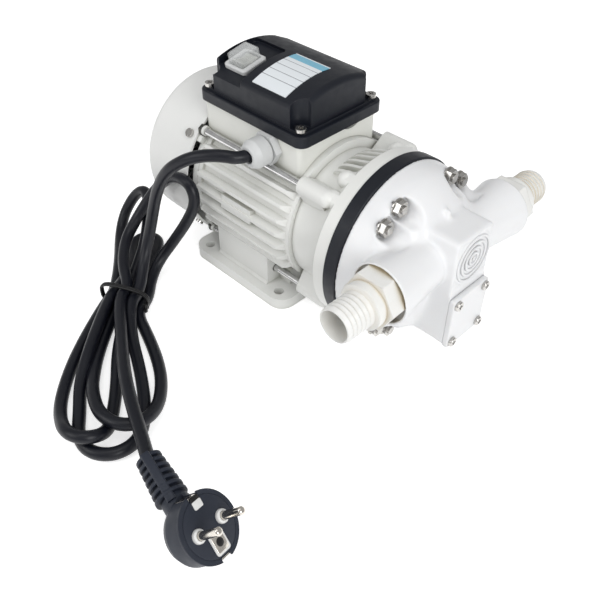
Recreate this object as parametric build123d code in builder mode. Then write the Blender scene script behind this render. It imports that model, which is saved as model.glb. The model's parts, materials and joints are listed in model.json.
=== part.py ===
from build123d import *
import math
import os

# Electric drum barrel pump: a finned induction motor on a foot, a wobble-plate diaphragm pump
# head with two hose barbs, a terminal box with a rocker switch, and a mains cord with its plug.
# Millimetres. +X runs along the motor shaft towards the pump head, +Z is up, -Y is the side
# where the cord leaves. The origin is the centre of the foot's hole pattern, on the floor.

# ---------------------------------------------------------------- driving dimensions
shaft_height = 63.5
face_gap = 0.15          # between flat faces or shells that seat on each other
running_gap = 0.05       # radial clearance of running fits

# motor frame
frame_rear = -42.0
frame_front = 54.0
barrel_radius = 53.0
barrel_bore = 48.0
saddle_radius = 56.0     # smooth part of the barrel under the terminal box
saddle_half_angle = 46.0
fin_radius = 58.6
fin_count = 7
fin_first_angle = 53.0
fin_pitch_angle = 10.5
fin_root_width = 6.4
fin_tip_width = 2.6

# foot
foot_length = 104.0
foot_width = 118.0
foot_plate = 9.2
foot_corner = 12.0
foot_hole_x = 80.0
foot_hole_y = 100.0
foot_hole_radius = 3.75
web_half_length = 28.0
web_half_width = 50.0
web_top = 36.0
bracket_screw_angle = 158.0

# tie rods
rod_circle = 59.8
rod_radius = 2.75
rod_angle = 43.7
rod_nut_flats = 7.4
rod_nut_height = 3.0

# stator, rotor and shaft
core_rear = -25.0
core_front = 31.0
core_bore = 29.0
air_gap = 0.4
winding_reach = 13.0
shaft_mid_radius = 9.0
rear_bearing_bore = 6.0
rear_bearing_outer = 16.0
rear_bearing_width = 10.0
rear_bearing_start = -52.0
front_bearing_bore = 7.5
front_bearing_outer = 17.5
front_bearing_width = 11.0
front_bearing_start = 50.0

# fan and cowl
cowl_radius = 61.4
cowl_wall = 1.8
cowl_front = -47.8
cowl_rear = -99.0
cowl_edge = 8.0
cowl_screw_angle = 50.3
cowl_screw_x = -54.5
grille_rings = [(16.0, 20.0), (25.0, 29.0), (34.0, 38.0), (43.0, 47.0)]
fan_radius = 50.0
fan_blades = 9

# terminal box
box_rear = -46.8
box_front = 49.3
box_half_width = 37.5
box_wall = 2.6
box_top = 129.0
gasket_height = 1.2
lid_rear = -50.1
lid_front = 53.6
lid_half_width = 39.9
lid_flange_height = 7.8
lid_step = 1.4
lid_wall = 2.4
dome_rear = -44.0
dome_front = 48.2
dome_half_width = 36.2
dome_apex = 163.0
dome_radius = 82.0
lid_screw_x = [-43.6, 46.8]
lid_screw_y = [-33.7, 33.7]
lid_screw_radius = 1.5
box_corner = 3.5
lid_scallop = 7.8

# switch, tilted with the lid's crown
switch_x = -25.4
switch_y = -16.6
recess_depth = 6.4
bezel_size = 22.0
bezel_height = 3.4
switch_well = 19.4
rocker_length = 14.6
rocker_width = 11.5
rocker_throw = 18.0

# cable gland and cord
gland_x = 21.5
gland_z = 119.85
gland_thread = 7.2
gland_flats = 20.6
gland_cap_radius = 10.2
gland_end = -58.0
cord_radius = 4.3

# cord hank and plug
hank_height = 18.0
bundle_width = 34.0
bundle_length = 24.0
bundle_height = 26.0
tie_width = 6.0
plug_face_radius = 20.0
plug_depth = 18.0
pin_radius = 2.4
pin_length = 19.0
pin_spacing = 19.0

# pump
bell_lug_end = 78.0
bell_flange_x = 96.3
ring_front = 106.2
ring_radius = 63.0
bolt_circle = 57.0
bolt_pair_angle = 34.0
bolt_pair_spread = 7.8
bolt_radius = 2.9
nut_flats = 9.8
chamber_circle = 30.0
chamber_count = 4
piston_radius = 14.0
piston_window = 18.5
diaphragm_sheet = 2.4
valve_plate_front = 117.0
valve_plate_radius = 51.5
swash_angle = 4.5
wobble_centre = 76.0
hub_radius = 9.0

# head castings and ports
port_x = 144.0
port_z = 81.0
port_radius = 21.5
port_root_radius = 14.0
port_root_blend = 3.0
port_end = 64.0
port_bore = 10.5
barb_end = 103.5
barb_radius = 12.4
barb_count = 6
hex_flats = 34.0
nose_half_width = 19.0
nose_bottom = 20.0
nose_top = 104.5
nose_corner = 4.0
nose_face = 166.0
relief_z = 85.0
relief_radius = 17.4
cover_face = 170.0
cover_top = 61.0
cover_screw_y = 14.5
cover_screw_z = [24.5, 56.6]
bypass_z = 42.0
bypass_bore = 9.0

# ---------------------------------------------------------------- shared planes and helpers
shaft_axis = Axis((0, 0, shaft_height), (1, 0, 0))
axial_plane = Plane(origin=(0, 0, shaft_height), x_dir=(1, 0, 0), z_dir=(0, -1, 0))


def cross_plane(x):
    """Plane across the shaft at x: its axes are +Y and +Z, its origin is on the shaft axis."""
    return Plane(origin=(x, 0, shaft_height), x_dir=(0, 1, 0), z_dir=(1, 0, 0))


def upright_plane(x):
    """Plane across the shaft at x with its origin on the floor."""
    return Plane(origin=(x, 0, 0), x_dir=(0, 1, 0), z_dir=(1, 0, 0))


def side_plane(x, y, z, direction=-1):
    """Plane facing -Y (or +Y) with its origin at the given point."""
    return Plane(origin=(x, y, z), x_dir=(-direction, 0, 0), z_dir=(0, direction, 0))


def around(radius, angle):
    """Point on a circle about the shaft, its angle measured from +Z towards -Y."""
    return (-radius * math.sin(math.radians(angle)), radius * math.cos(math.radians(angle)))


def turn(*points, mode=Mode.ADD):
    """Solid of revolution about the shaft, from (x, radius) points."""
    with BuildSketch(axial_plane) as profile:
        with BuildLine():
            Polyline(*points, close=True)
        make_face()
    revolve(profile.sketch, axis=shaft_axis, mode=mode)


def tube(x_start, x_end, inner, outer, mode=Mode.ADD):
    """Ring or disc about the shaft."""
    turn((x_start, inner), (x_end, inner), (x_end, outer), (x_start, outer), mode=mode)


def round_bar(plane, radius, length, mode=Mode.ADD):
    with BuildSketch(plane) as section:
        Circle(radius)
    extrude(section.sketch, amount=length, mode=mode)


def hex_bar(plane, flats, length, mode=Mode.ADD):
    with BuildSketch(plane) as section:
        RegularPolygon(flats / 2, 6, major_radius=False)
    extrude(section.sketch, amount=length, mode=mode)


def block(x_span, y_span, z_span, mode=Mode.ADD):
    """Box from its lowest to its highest corner."""
    with BuildSketch(Plane.XY.offset(z_span[0])) as section:
        with Locations(((x_span[0] + x_span[1]) / 2, (y_span[0] + y_span[1]) / 2)):
            Rectangle(x_span[1] - x_span[0], y_span[1] - y_span[0])
    extrude(section.sketch, amount=z_span[1] - z_span[0], mode=mode)


def slab(x_span, half_width, corner, z_span, mode=Mode.ADD):
    """Rounded rectangular plate, symmetric about the XZ plane."""
    with BuildSketch(Plane.XY.offset(z_span[0])) as section:
        with Locations(((x_span[0] + x_span[1]) / 2, 0)):
            RectangleRounded(x_span[1] - x_span[0], 2 * half_width, corner)
    extrude(section.sketch, amount=z_span[1] - z_span[0], mode=mode)


# ---------------------------------------------------------------- stator frame
fin_angles = [side * (fin_first_angle + step * fin_pitch_angle)
              for side in (1, -1) for step in range(fin_count)]

with BuildPart() as fin_stack:
    for angle in fin_angles:
        radial = around(1.0, angle)
        with BuildSketch(cross_plane(frame_rear + 3)) as fin_section:
            with BuildLine():
                across = (-radial[1], radial[0])
                corners = []
                for reach, half in ((barrel_radius - 1, fin_root_width / 2),
                                    (fin_radius, fin_tip_width / 2),
                                    (fin_radius, -fin_tip_width / 2),
                                    (barrel_radius - 1, -fin_root_width / 2)):
                    corners.append((radial[0] * reach + across[0] * half,
                                    radial[1] * reach + across[1] * half))
                Polyline(*corners, close=True)
            make_face()
        extrude(fin_section.sketch, amount=frame_front - frame_rear - 3)
    # the fins fade into the barrel at the front
    with BuildSketch(axial_plane) as fade:
        with BuildLine():
            fade_start = frame_front - 14
            Line((frame_rear, 0), (frame_rear, fin_radius + 1))
            Line((frame_rear, fin_radius + 1), (fade_start, fin_radius + 1))
            ThreePointArc((fade_start, fin_radius + 1), (fade_start + 8, fin_radius - 1.4),
                          (frame_front - 3, barrel_radius - 0.5))
            Line((frame_front - 3, barrel_radius - 0.5), (frame_front - 3, 0))
            Line((frame_front - 3, 0), (frame_rear, 0))
        make_face()
    revolve(fade.sketch, axis=shaft_axis, mode=Mode.INTERSECT)

with BuildPart() as stator_frame:
    tube(frame_rear, frame_front, barrel_bore, barrel_radius)
    tube(frame_rear, frame_rear + 4, barrel_bore, barrel_radius + 2)
    add(fin_stack.part)
    # smooth saddle under the terminal box
    with BuildSketch(cross_plane(frame_rear)) as saddle:
        Circle(saddle_radius)
        with BuildLine():
            edge = 2 * saddle_radius
            Polyline((0, 0), around(edge, saddle_half_angle), around(edge, -saddle_half_angle),
                     close=True)
        make_face(mode=Mode.INTERSECT)
        Circle(barrel_bore, mode=Mode.SUBTRACT)
    extrude(saddle.sketch, amount=frame_front - frame_rear)
    # pad between two fins on the cord side
    with BuildSketch(cross_plane(-12)) as pad:
        with BuildLine():
            Polyline(around(barrel_radius - 1, 79), around(fin_radius - 1.2, 79),
                     around(fin_radius - 1.2, 90), around(barrel_radius - 1, 90), close=True)
        make_face()
    extrude(pad.sketch, amount=31)
    # wire way into the terminal box
    round_bar(Plane.XY.offset(shaft_height + barrel_bore - 4), 7, 16, mode=Mode.SUBTRACT)
stator_frame.part.label = "stator_frame"

# ---------------------------------------------------------------- foot bracket
bracket_inner = barrel_radius + face_gap
bracket_screw_radius = 2.4
bracket_head_radius = 4.2
bracket_seat = 3.2
bracket_screw_y = abs(around(barrel_radius, bracket_screw_angle)[0])
bracket_screw_places = [(x, y) for x in (-18, 18) for y in (-bracket_screw_y, bracket_screw_y)]
with BuildPart() as foot_bracket:
    with BuildSketch() as foot_outline:
        RectangleRounded(foot_length, foot_width, foot_corner)
    extrude(foot_outline.sketch, amount=foot_plate)
    with BuildSketch(upright_plane(-web_half_length)) as web:
        with BuildLine():
            Polyline((-web_half_width - 1.5, 0), (-web_half_width - 1.5, foot_plate),
                     (-web_half_width, foot_plate + 2), (-web_half_width, web_top),
                     (web_half_width, web_top), (web_half_width, foot_plate + 2),
                     (web_half_width + 1.5, foot_plate), (web_half_width + 1.5, 0), close=True)
        make_face()
    extrude(web.sketch, amount=2 * web_half_length)
    # inner walls run the whole length, behind the holes
    with BuildSketch(upright_plane(-foot_length / 2 + 12)) as rail:
        with BuildLine():
            Polyline((-38, 0), (-38, 22), (38, 22), (38, 0), close=True)
        make_face()
    extrude(rail.sketch, amount=foot_length - 24)
    # hollow underside between the two feet
    block((-foot_length / 2, foot_length / 2), (-24, 24), (0, 3.0), mode=Mode.SUBTRACT)
    # barrel seat, with room for the lowest fins
    tube(-foot_length, foot_length, 0, bracket_inner, mode=Mode.SUBTRACT)
    for angle in [a for a in fin_angles if abs(a) > 104]:
        fin_slot = around((barrel_radius + fin_radius) / 2 + 1, angle)
        with BuildSketch(cross_plane(-foot_length / 2)) as slot:
            with Locations(fin_slot):
                Rectangle(fin_radius - barrel_radius + 6, fin_root_width + 1.2,
                          rotation=90 + angle)
        extrude(slot.sketch, amount=foot_length, mode=Mode.SUBTRACT)
    # clear of the frame's rear flange, the end shield and the fan cowl
    tube(-foot_length, frame_rear + 4.3, 0, saddle_radius + 0.6, mode=Mode.SUBTRACT)
    tube(-foot_length, cowl_front + 0.5, 0, cowl_radius + 0.5, mode=Mode.SUBTRACT)
    # ways for the two lower tie rods and for the bracket's own screws
    with BuildSketch(cross_plane(-foot_length / 2)) as rod_ways:
        for angle in (180 - rod_angle, rod_angle - 180):
            with Locations(around(rod_circle, angle)):
                Circle(rod_radius + 0.5)
    extrude(rod_ways.sketch, amount=foot_length, mode=Mode.SUBTRACT)
    with BuildSketch() as screw_ways:
        with Locations(*bracket_screw_places):
            Circle(bracket_screw_radius + running_gap)
    extrude(screw_ways.sketch, amount=30, mode=Mode.SUBTRACT)
    with BuildSketch() as screw_seats:
        with Locations(*bracket_screw_places):
            Circle(bracket_head_radius + 0.2)
    extrude(screw_seats.sketch, amount=bracket_seat, mode=Mode.SUBTRACT)
    with BuildSketch() as foot_holes:
        with GridLocations(foot_hole_x, foot_hole_y, 2, 2):
            Circle(foot_hole_radius)
    extrude(foot_holes.sketch, amount=foot_plate, mode=Mode.SUBTRACT)
    # round pockets that clear the bolt heads
    with BuildSketch(Plane.XY.offset(foot_plate)) as pockets:
        with GridLocations(foot_hole_x, foot_hole_y, 2, 2):
            Circle(11.5)
    extrude(pockets.sketch, amount=60, mode=Mode.SUBTRACT)
foot_bracket.part.label = "foot_bracket"

with BuildPart() as foot_bracket_screws:
    for x, y in bracket_screw_places:
        screw_top = shaft_height - math.sqrt(barrel_radius ** 2 - y ** 2) - face_gap
        round_bar(Plane(origin=(x, y, 0.6), z_dir=(0, 0, 1)), bracket_screw_radius,
                  screw_top - 1.5)
        round_bar(Plane(origin=(x, y, 0.6), z_dir=(0, 0, 1)), bracket_head_radius,
                  bracket_seat - 0.7)
foot_bracket_screws.part.label = "foot_bracket_screws"

# ---------------------------------------------------------------- stator core and windings
with BuildPart() as stator_core:
    tube(core_rear, core_front, core_bore, barrel_bore - 0.02)
    with BuildSketch(cross_plane(core_rear)) as slots:
        for step in range(24):
            with Locations(around(core_bore + 7.5, step * 15)):
                Rectangle(13, 3.6, rotation=90 + step * 15)
    extrude(slots.sketch, amount=core_front - core_rear, mode=Mode.SUBTRACT)
stator_core.part.label = "stator_core"

with BuildPart() as stator_windings:
    for start, reach in ((core_rear, -winding_reach), (core_front, winding_reach)):
        turn((start, core_bore + 3), (start + reach * 0.7, core_bore + 3),
             (start + reach, core_bore + 6), (start + reach, core_bore + 13),
             (start + reach * 0.7, core_bore + 16), (start, core_bore + 16))
    with BuildSketch(cross_plane(core_rear)) as slot_fill:
        for step in range(24):
            with Locations(around(core_bore + 8.4, step * 15)):
                Rectangle(10, 3.2, rotation=90 + step * 15)
    extrude(slot_fill.sketch, amount=core_front - core_rear)
stator_windings.part.label = "stator_windings"

# ---------------------------------------------------------------- rear end shield
rear_hub_radius = rear_bearing_outer + 4
shield_radius = barrel_radius + 2.4
ear_radius = 3.75
rear_bearing_end = rear_bearing_start + rear_bearing_width
rod_points = [around(rod_circle, a) for a in (rod_angle, -rod_angle, 180 - rod_angle,
                                              rod_angle - 180)]
with BuildPart() as shield_casting:
    tube(frame_rear - 5, frame_rear, barrel_bore - 9, shield_radius)
    tube(frame_rear - 4, frame_rear, rear_hub_radius - 1, barrel_bore - 8)
    tube(frame_rear, frame_rear + 4, barrel_bore - 5, barrel_bore - running_gap)
    tube(rear_bearing_start - 1, rear_bearing_end, rear_bearing_outer, rear_hub_radius)
    tube(rear_bearing_end, rear_bearing_end + 2, rear_bearing_bore + 3, rear_hub_radius)
    with BuildSketch(cross_plane(frame_rear - 2.4)) as ears:
        for angle in (rod_angle, -rod_angle, 180 - rod_angle, rod_angle - 180):
            with Locations(around(rod_circle, angle)):
                Circle(ear_radius)
            with Locations(around((rod_circle + barrel_bore) / 2, angle)):
                Rectangle(rod_circle - barrel_bore, 1.2 * ear_radius, rotation=90 + angle)
    extrude(ears.sketch, amount=2.4)
    with BuildSketch(cross_plane(frame_rear - 3)) as ear_holes:
        for point in rod_points:
            with Locations(point):
                Circle(rod_radius + running_gap)
    extrude(ear_holes.sketch, amount=4, mode=Mode.SUBTRACT)

# ---------------------------------------------------------------- bearings
bearings = [("rear", rear_bearing_start, rear_bearing_width, rear_bearing_bore, rear_bearing_outer),
            ("front", front_bearing_start, front_bearing_width, front_bearing_bore,
             front_bearing_outer)]
bearing_parts = {}
for end, start, width, bore, outer in bearings:
    pitch = (bore + outer) / 2
    ball = (outer - bore) * 0.3
    groove = ball + running_gap
    with BuildPart() as outer_ring:
        tube(start + running_gap, start + width - running_gap, pitch + ball * 0.55, outer)
        with BuildSketch(axial_plane) as groove_section:
            with Locations((start + width / 2, pitch)):
                Circle(groove)
        revolve(groove_section.sketch, axis=shaft_axis, mode=Mode.SUBTRACT)
    with BuildPart() as inner_ring:
        tube(start + running_gap, start + width - running_gap, bore, pitch - ball * 0.55)
        revolve(groove_section.sketch, axis=shaft_axis, mode=Mode.SUBTRACT)
    with BuildPart() as balls:
        for step in range(8):
            ball_y, ball_z = around(pitch, step * 45)
            with Locations((start + width / 2, ball_y, ball_z + shaft_height)):
                Sphere(ball)
    bearing_parts[end + "_bearing_outer"] = outer_ring
    bearing_parts[end + "_bearing_inner"] = inner_ring
    bearing_parts[end + "_bearing_balls"] = balls

# ---------------------------------------------------------------- fan cowl
cowl_inner = cowl_radius - cowl_wall
cowl_screw_angles = [cowl_screw_angle, -cowl_screw_angle, 180 - cowl_screw_angle,
                     cowl_screw_angle - 180]
with BuildPart() as fan_cowl:
    with BuildSketch(axial_plane) as cowl_outline:
        with BuildLine():
            Line((cowl_front, 0), (cowl_front, cowl_radius))
            Line((cowl_front, cowl_radius), (cowl_rear + cowl_edge, cowl_radius))
            RadiusArc((cowl_rear + cowl_edge, cowl_radius), (cowl_rear, cowl_radius - cowl_edge),
                      -cowl_edge)
            Line((cowl_rear, cowl_radius - cowl_edge), (cowl_rear, 0))
            Line((cowl_rear, 0), (cowl_front, 0))
        make_face()
    revolve(cowl_outline.sketch, axis=shaft_axis)
    with BuildSketch(axial_plane) as cowl_hollow:
        hollow_edge = cowl_edge - cowl_wall
        with BuildLine():
            Line((cowl_front, 0), (cowl_front, cowl_inner))
            Line((cowl_front, cowl_inner), (cowl_rear + cowl_edge, cowl_inner))
            RadiusArc((cowl_rear + cowl_edge, cowl_inner),
                      (cowl_rear + cowl_wall, cowl_inner - hollow_edge), -hollow_edge)
            Line((cowl_rear + cowl_wall, cowl_inner - hollow_edge), (cowl_rear + cowl_wall, 0))
            Line((cowl_rear + cowl_wall, 0), (cowl_front, 0))
        make_face()
    revolve(cowl_hollow.sketch, axis=shaft_axis, mode=Mode.SUBTRACT)
    # air grille: rings of arc slots between six ribs
    with BuildSketch(cross_plane(cowl_rear - 1)) as grille:
        for inner, outer in grille_rings:
            Circle(outer)
            Circle(inner, mode=Mode.SUBTRACT)
        for step in range(3):
            Rectangle(2 * cowl_radius, 4.2, rotation=30 + step * 60, mode=Mode.SUBTRACT)
    extrude(grille.sketch, amount=cowl_wall + 2, mode=Mode.SUBTRACT)
    # four screw bosses reach in to the end shield's rim
    for angle in cowl_screw_angles:
        hole_y, hole_z = around(cowl_radius + 2, angle)
        inward = Plane(origin=(cowl_screw_x, hole_y, hole_z + shaft_height),
                       z_dir=(0, -hole_y, -hole_z))
        round_bar(inward, 1.7, 8, mode=Mode.SUBTRACT)
fan_cowl.part.label = "fan_cowl"

with BuildPart() as cowl_screws:
    for angle in cowl_screw_angles:
        head_y, head_z = around(cowl_radius + 2.1, angle)
        inward = Plane(origin=(cowl_screw_x, head_y, head_z + shaft_height),
                       z_dir=(0, -head_y, -head_z))
        round_bar(inward, 3.3, 1.95)
        round_bar(inward, 1.6, 7.6)
cowl_screws.part.label = "cowl_screws"

# lugs of the end shield that the cowl screws bite into
with BuildPart() as cowl_lugs:
    for angle in cowl_screw_angles:
        lug_y, lug_z = around(cowl_inner - 0.2, angle)
        inward = Plane(origin=(cowl_screw_x, lug_y, lug_z + shaft_height),
                       x_dir=(1, 0, 0), z_dir=(0, -lug_y, -lug_z))
        with BuildSketch(inward) as lug_section:
            with Locations((3.6, 0)):
                Rectangle(14.5, 5)
            Circle(1.65, mode=Mode.SUBTRACT)
        extrude(lug_section.sketch, amount=5)

with BuildPart() as rear_end_shield:
    add(shield_casting.part)
    add(cowl_lugs.part)
rear_end_shield.part.label = "rear_end_shield"

# ---------------------------------------------------------------- rotor, shaft and fan
hub_front = wobble_centre + 9
with BuildPart() as motor_shaft:
    tube(cowl_rear + 14, rear_bearing_start, 0, rear_bearing_bore - 0.5)
    tube(rear_bearing_start, rear_bearing_end, 0, rear_bearing_bore)
    tube(rear_bearing_end, front_bearing_start, 0, shaft_mid_radius)
    tube(front_bearing_start, front_bearing_start + front_bearing_width, 0, front_bearing_bore)
    tube(front_bearing_start + front_bearing_width, hub_front - 1, 0, front_bearing_bore - 1.5)
motor_shaft.part.label = "motor_shaft"

with BuildPart() as rotor_core:
    tube(core_rear, core_front, shaft_mid_radius, core_bore - air_gap)
    for start, reach in ((core_rear, -6), (core_front, 6)):
        tube(min(start, start + reach), max(start, start + reach), core_bore - 12, core_bore - 3)
rotor_core.part.label = "rotor_core"

fan_hub_front = cowl_rear + 40
with BuildPart() as cooling_fan:
    tube(fan_hub_front - 20, fan_hub_front, rear_bearing_bore - 0.5, 11)
    tube(fan_hub_front - 3, fan_hub_front, 10, fan_radius - 14)
    for step in range(fan_blades):
        spoke = around(1, step * 360 / fan_blades)
        with BuildSketch(cross_plane(fan_hub_front - 24)) as blade:
            with Locations((spoke[0] * (fan_radius + 10) / 2, spoke[1] * (fan_radius + 10) / 2)):
                Rectangle(fan_radius - 10, 2.2, rotation=90 + step * 360 / fan_blades)
        extrude(blade.sketch, amount=24)
cooling_fan.part.label = "cooling_fan"

# inclined hub: a journal tilted by the swash angle about the wobble centre
swash = math.radians(swash_angle)
swash_direction = (math.cos(swash), 0, math.sin(swash))
swash_origin = (wobble_centre, 0, shaft_height)


def swash_plane(offset):
    """Plane across the tilted axis, at a distance along it from the wobble centre."""
    origin = tuple(swash_origin[i] + swash_direction[i] * offset for i in range(3))
    return Plane(origin=origin, x_dir=(0, 1, 0), z_dir=swash_direction)


with BuildPart() as eccentric_hub:
    round_bar(swash_plane(-6), hub_radius, 15)
    round_bar(swash_plane(-9), hub_radius + 3, 3)
    tube(front_bearing_start + front_bearing_width + 1, wobble_centre - 8, 0, hub_radius + 2)
    tube(front_bearing_start, hub_front + 8, 0, front_bearing_bore - 1.5, mode=Mode.SUBTRACT)
eccentric_hub.part.label = "eccentric_hub"

with BuildPart() as wobble_bearing:
    round_bar(swash_plane(-5.5), hub_radius + 6, 11)
    round_bar(swash_plane(-5.5), hub_radius + running_gap, 11, mode=Mode.SUBTRACT)
wobble_bearing.part.label = "wobble_bearing"

chamber_angles = [(step + 0.5) * 360 / chamber_count for step in range(chamber_count)]
sheet_rear = ring_front
sheet_front = ring_front + diaphragm_sheet
with BuildPart() as wobble_plate:
    round_bar(swash_plane(-3), chamber_circle + 9, 6)
    round_bar(swash_plane(-6.5), hub_radius + 10, 13)
    for angle in chamber_angles:
        across, along = around(chamber_circle, angle)
        with BuildSketch(swash_plane(2)) as stem:
            with Locations((across, along)):
                Circle(7)
        extrude(stem.sketch, amount=sheet_rear - wobble_centre - 3.5)
        with BuildSketch(swash_plane(sheet_rear - wobble_centre - 2)) as head:
            with Locations((across, along)):
                Circle(piston_radius)
        extrude(head.sketch, amount=3.4)
    round_bar(swash_plane(-8), hub_radius + 6, 30, mode=Mode.SUBTRACT)
wobble_plate.part.label = "wobble_plate"

# ---------------------------------------------------------------- tie rods
front_rod_end = bell_lug_end - 2
with BuildPart() as tie_rods:
    for point in rod_points:
        with BuildSketch(cross_plane(frame_rear - 5.2)) as rod_section:
            with Locations(point):
                Circle(rod_radius)
        extrude(rod_section.sketch, amount=front_rod_end - frame_rear + 5.2)
tie_rods.part.label = "tie_rods"

with BuildPart() as tie_rod_nuts:
    for point in rod_points:
        with BuildSketch(cross_plane(frame_rear - 2.5)) as nut_section:
            with Locations(point):
                RegularPolygon(rod_nut_flats / 2, 6, major_radius=False, rotation=30)
                Circle(rod_radius + running_gap, mode=Mode.SUBTRACT)
        extrude(nut_section.sketch, amount=-rod_nut_height + 0.1)
tie_rod_nuts.part.label = "tie_rod_nuts"

# ---------------------------------------------------------------- terminal box
saddle_clear = saddle_radius + face_gap
floor_radius = saddle_radius + 3
cap_y = 12.0
cap_z = 139.0
cap_radius = 14.0
cap_x = (-6.0, 36.0)
screw_corners = [(x, y) for x in lid_screw_x for y in lid_screw_y]
block_posts = [(6, -21), (28, -21)]

with BuildPart() as box_hollow:
    slab((box_rear + box_wall, box_front - box_wall), box_half_width - box_wall, 3.5,
         (shaft_height + 30, box_top + 1))
    tube(box_rear, box_front, 0, floor_radius, mode=Mode.SUBTRACT)

with BuildPart() as corner_bosses:
    with BuildSketch(Plane.XY.offset(box_top - 22)) as boss_sections:
        with Locations(*screw_corners):
            Circle(5.6)
    extrude(boss_sections.sketch, amount=22)
    slab((box_rear, box_front), box_half_width, box_corner, (box_top - 22, box_top),
         mode=Mode.INTERSECT)

with BuildPart() as terminal_box_base:
    slab((box_rear, box_front), box_half_width, box_corner, (shaft_height + 30, box_top))
    add(box_hollow.part, mode=Mode.SUBTRACT)
    add(corner_bosses.part)
    tube(box_rear - 1, box_front + 1, 0, saddle_clear, mode=Mode.SUBTRACT)
    round_bar(Plane.XY.offset(shaft_height + saddle_radius - 4), 6, 12, mode=Mode.SUBTRACT)
    for post_x, post_y in block_posts:
        round_bar(Plane(origin=(post_x, post_y, 117.5), z_dir=(0, 0, 1)), 3.2, 5.5)
    for rib_x in (cap_x[0] + 8, cap_x[1] - 11):
        block((rib_x, rib_x + 3), (cap_y - 11, cap_y + 11), (119.5, cap_z - 8))
    round_bar(Plane(origin=(cap_x[0] - 4, cap_y, cap_z), z_dir=(1, 0, 0)), cap_radius + running_gap,
              60, mode=Mode.SUBTRACT)
    with BuildSketch(Plane.XY.offset(box_top - 14)) as pilot_holes:
        with Locations(*screw_corners):
            Circle(lid_screw_radius + running_gap)
    extrude(pilot_holes.sketch, amount=14, mode=Mode.SUBTRACT)
    round_bar(side_plane(gland_x, -box_half_width + 4, gland_z), gland_thread + running_gap, 8,
              mode=Mode.SUBTRACT)
terminal_box_base.part.label = "terminal_box_base"

with BuildPart() as terminal_box_gasket:
    slab((box_rear + 0.4, box_front - 0.4), box_half_width - 0.4, box_corner - 0.4,
         (box_top, box_top + gasket_height))
    slab((box_rear + box_wall + 1.6, box_front - box_wall - 1.6), box_half_width - box_wall - 1.6,
         3, (box_top, box_top + gasket_height), mode=Mode.SUBTRACT)
    with BuildSketch(Plane.XY.offset(box_top)) as ears:
        with Locations(*screw_corners):
            Circle(5.0)
    extrude(ears.sketch, amount=gasket_height)
    slab((box_rear + 0.4, box_front - 0.4), box_half_width - 0.4, box_corner - 0.4,
         (box_top, box_top + gasket_height), mode=Mode.INTERSECT)
    with BuildSketch(Plane.XY.offset(box_top)) as gasket_holes:
        with Locations(*screw_corners):
            Circle(2.2)
    extrude(gasket_holes.sketch, amount=gasket_height, mode=Mode.SUBTRACT)
terminal_box_gasket.part.label = "terminal_box_gasket"

lid_bottom = box_top + gasket_height
lid_flange_top = lid_bottom + lid_flange_height
lid_step_top = lid_flange_top + lid_step


def crown(y):
    """Height of the lid's arched top."""
    return dome_apex - dome_radius + math.sqrt(dome_radius ** 2 - y ** 2)


def dome_block(x_span, half_width, drop, bottom, mode=Mode.ADD):
    """Block under the arched top, lowered by drop."""
    with BuildSketch(upright_plane(x_span[0])) as arch:
        with BuildLine():
            side = crown(half_width) - drop
            Line((-half_width, bottom), (half_width, bottom))
            Line((half_width, bottom), (half_width, side))
            ThreePointArc((half_width, side), (0, dome_apex - drop), (-half_width, side))
            Line((-half_width, side), (-half_width, bottom))
        make_face()
    extrude(arch.sketch, amount=x_span[1] - x_span[0], mode=mode)


# frame of the switch: its face lies along the crown at the switch's place
switch_slope = math.asin(-switch_y / dome_radius)
switch_up = (0, -math.sin(switch_slope), math.cos(switch_slope))
switch_top = (switch_x, switch_y, crown(switch_y))


def switch_plane(height):
    """Plane along the lid's crown at the switch, raised by height; its Y axis climbs the crown."""
    origin = tuple(switch_top[i] + switch_up[i] * height for i in range(3))
    return Plane(origin=origin, x_dir=(1, 0, 0), z_dir=switch_up)


def switch_box(x_half, y_span, z_span, corner=0.0, mode=Mode.ADD, x_shift=0.0):
    with BuildSketch(switch_plane(z_span[0])) as section:
        with Locations((x_shift, (y_span[0] + y_span[1]) / 2)):
            if corner > 0:
                RectangleRounded(2 * x_half, y_span[1] - y_span[0], corner)
            else:
                Rectangle(2 * x_half, y_span[1] - y_span[0])
    extrude(section.sketch, amount=z_span[1] - z_span[0], mode=mode)


recess_half = 16.5
recess_back = 24.5
with BuildPart() as lid_dome:
    dome_block((dome_rear, dome_front), dome_half_width, 0, lid_flange_top)
    fillet(lid_dome.faces().sort_by(Axis.Z)[-1].edges(), 4.0)
    switch_box(recess_half, (-30, recess_back), (-recess_depth, 20), 4.0, mode=Mode.SUBTRACT,
               x_shift=0.9)

with BuildPart() as lid_hollow:
    dome_block((dome_rear + lid_wall, dome_front - lid_wall), dome_half_width - lid_wall,
               lid_wall, lid_bottom)
    with BuildSketch(Plane.XY.offset(lid_bottom)) as columns:
        with Locations(*screw_corners):
            Circle(lid_scallop + lid_wall)
    extrude(columns.sketch, amount=60, mode=Mode.SUBTRACT)
    switch_box(recess_half + lid_wall, (-40, recess_back + lid_wall),
               (-recess_depth - lid_wall, 30), mode=Mode.SUBTRACT, x_shift=0.9)

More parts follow.
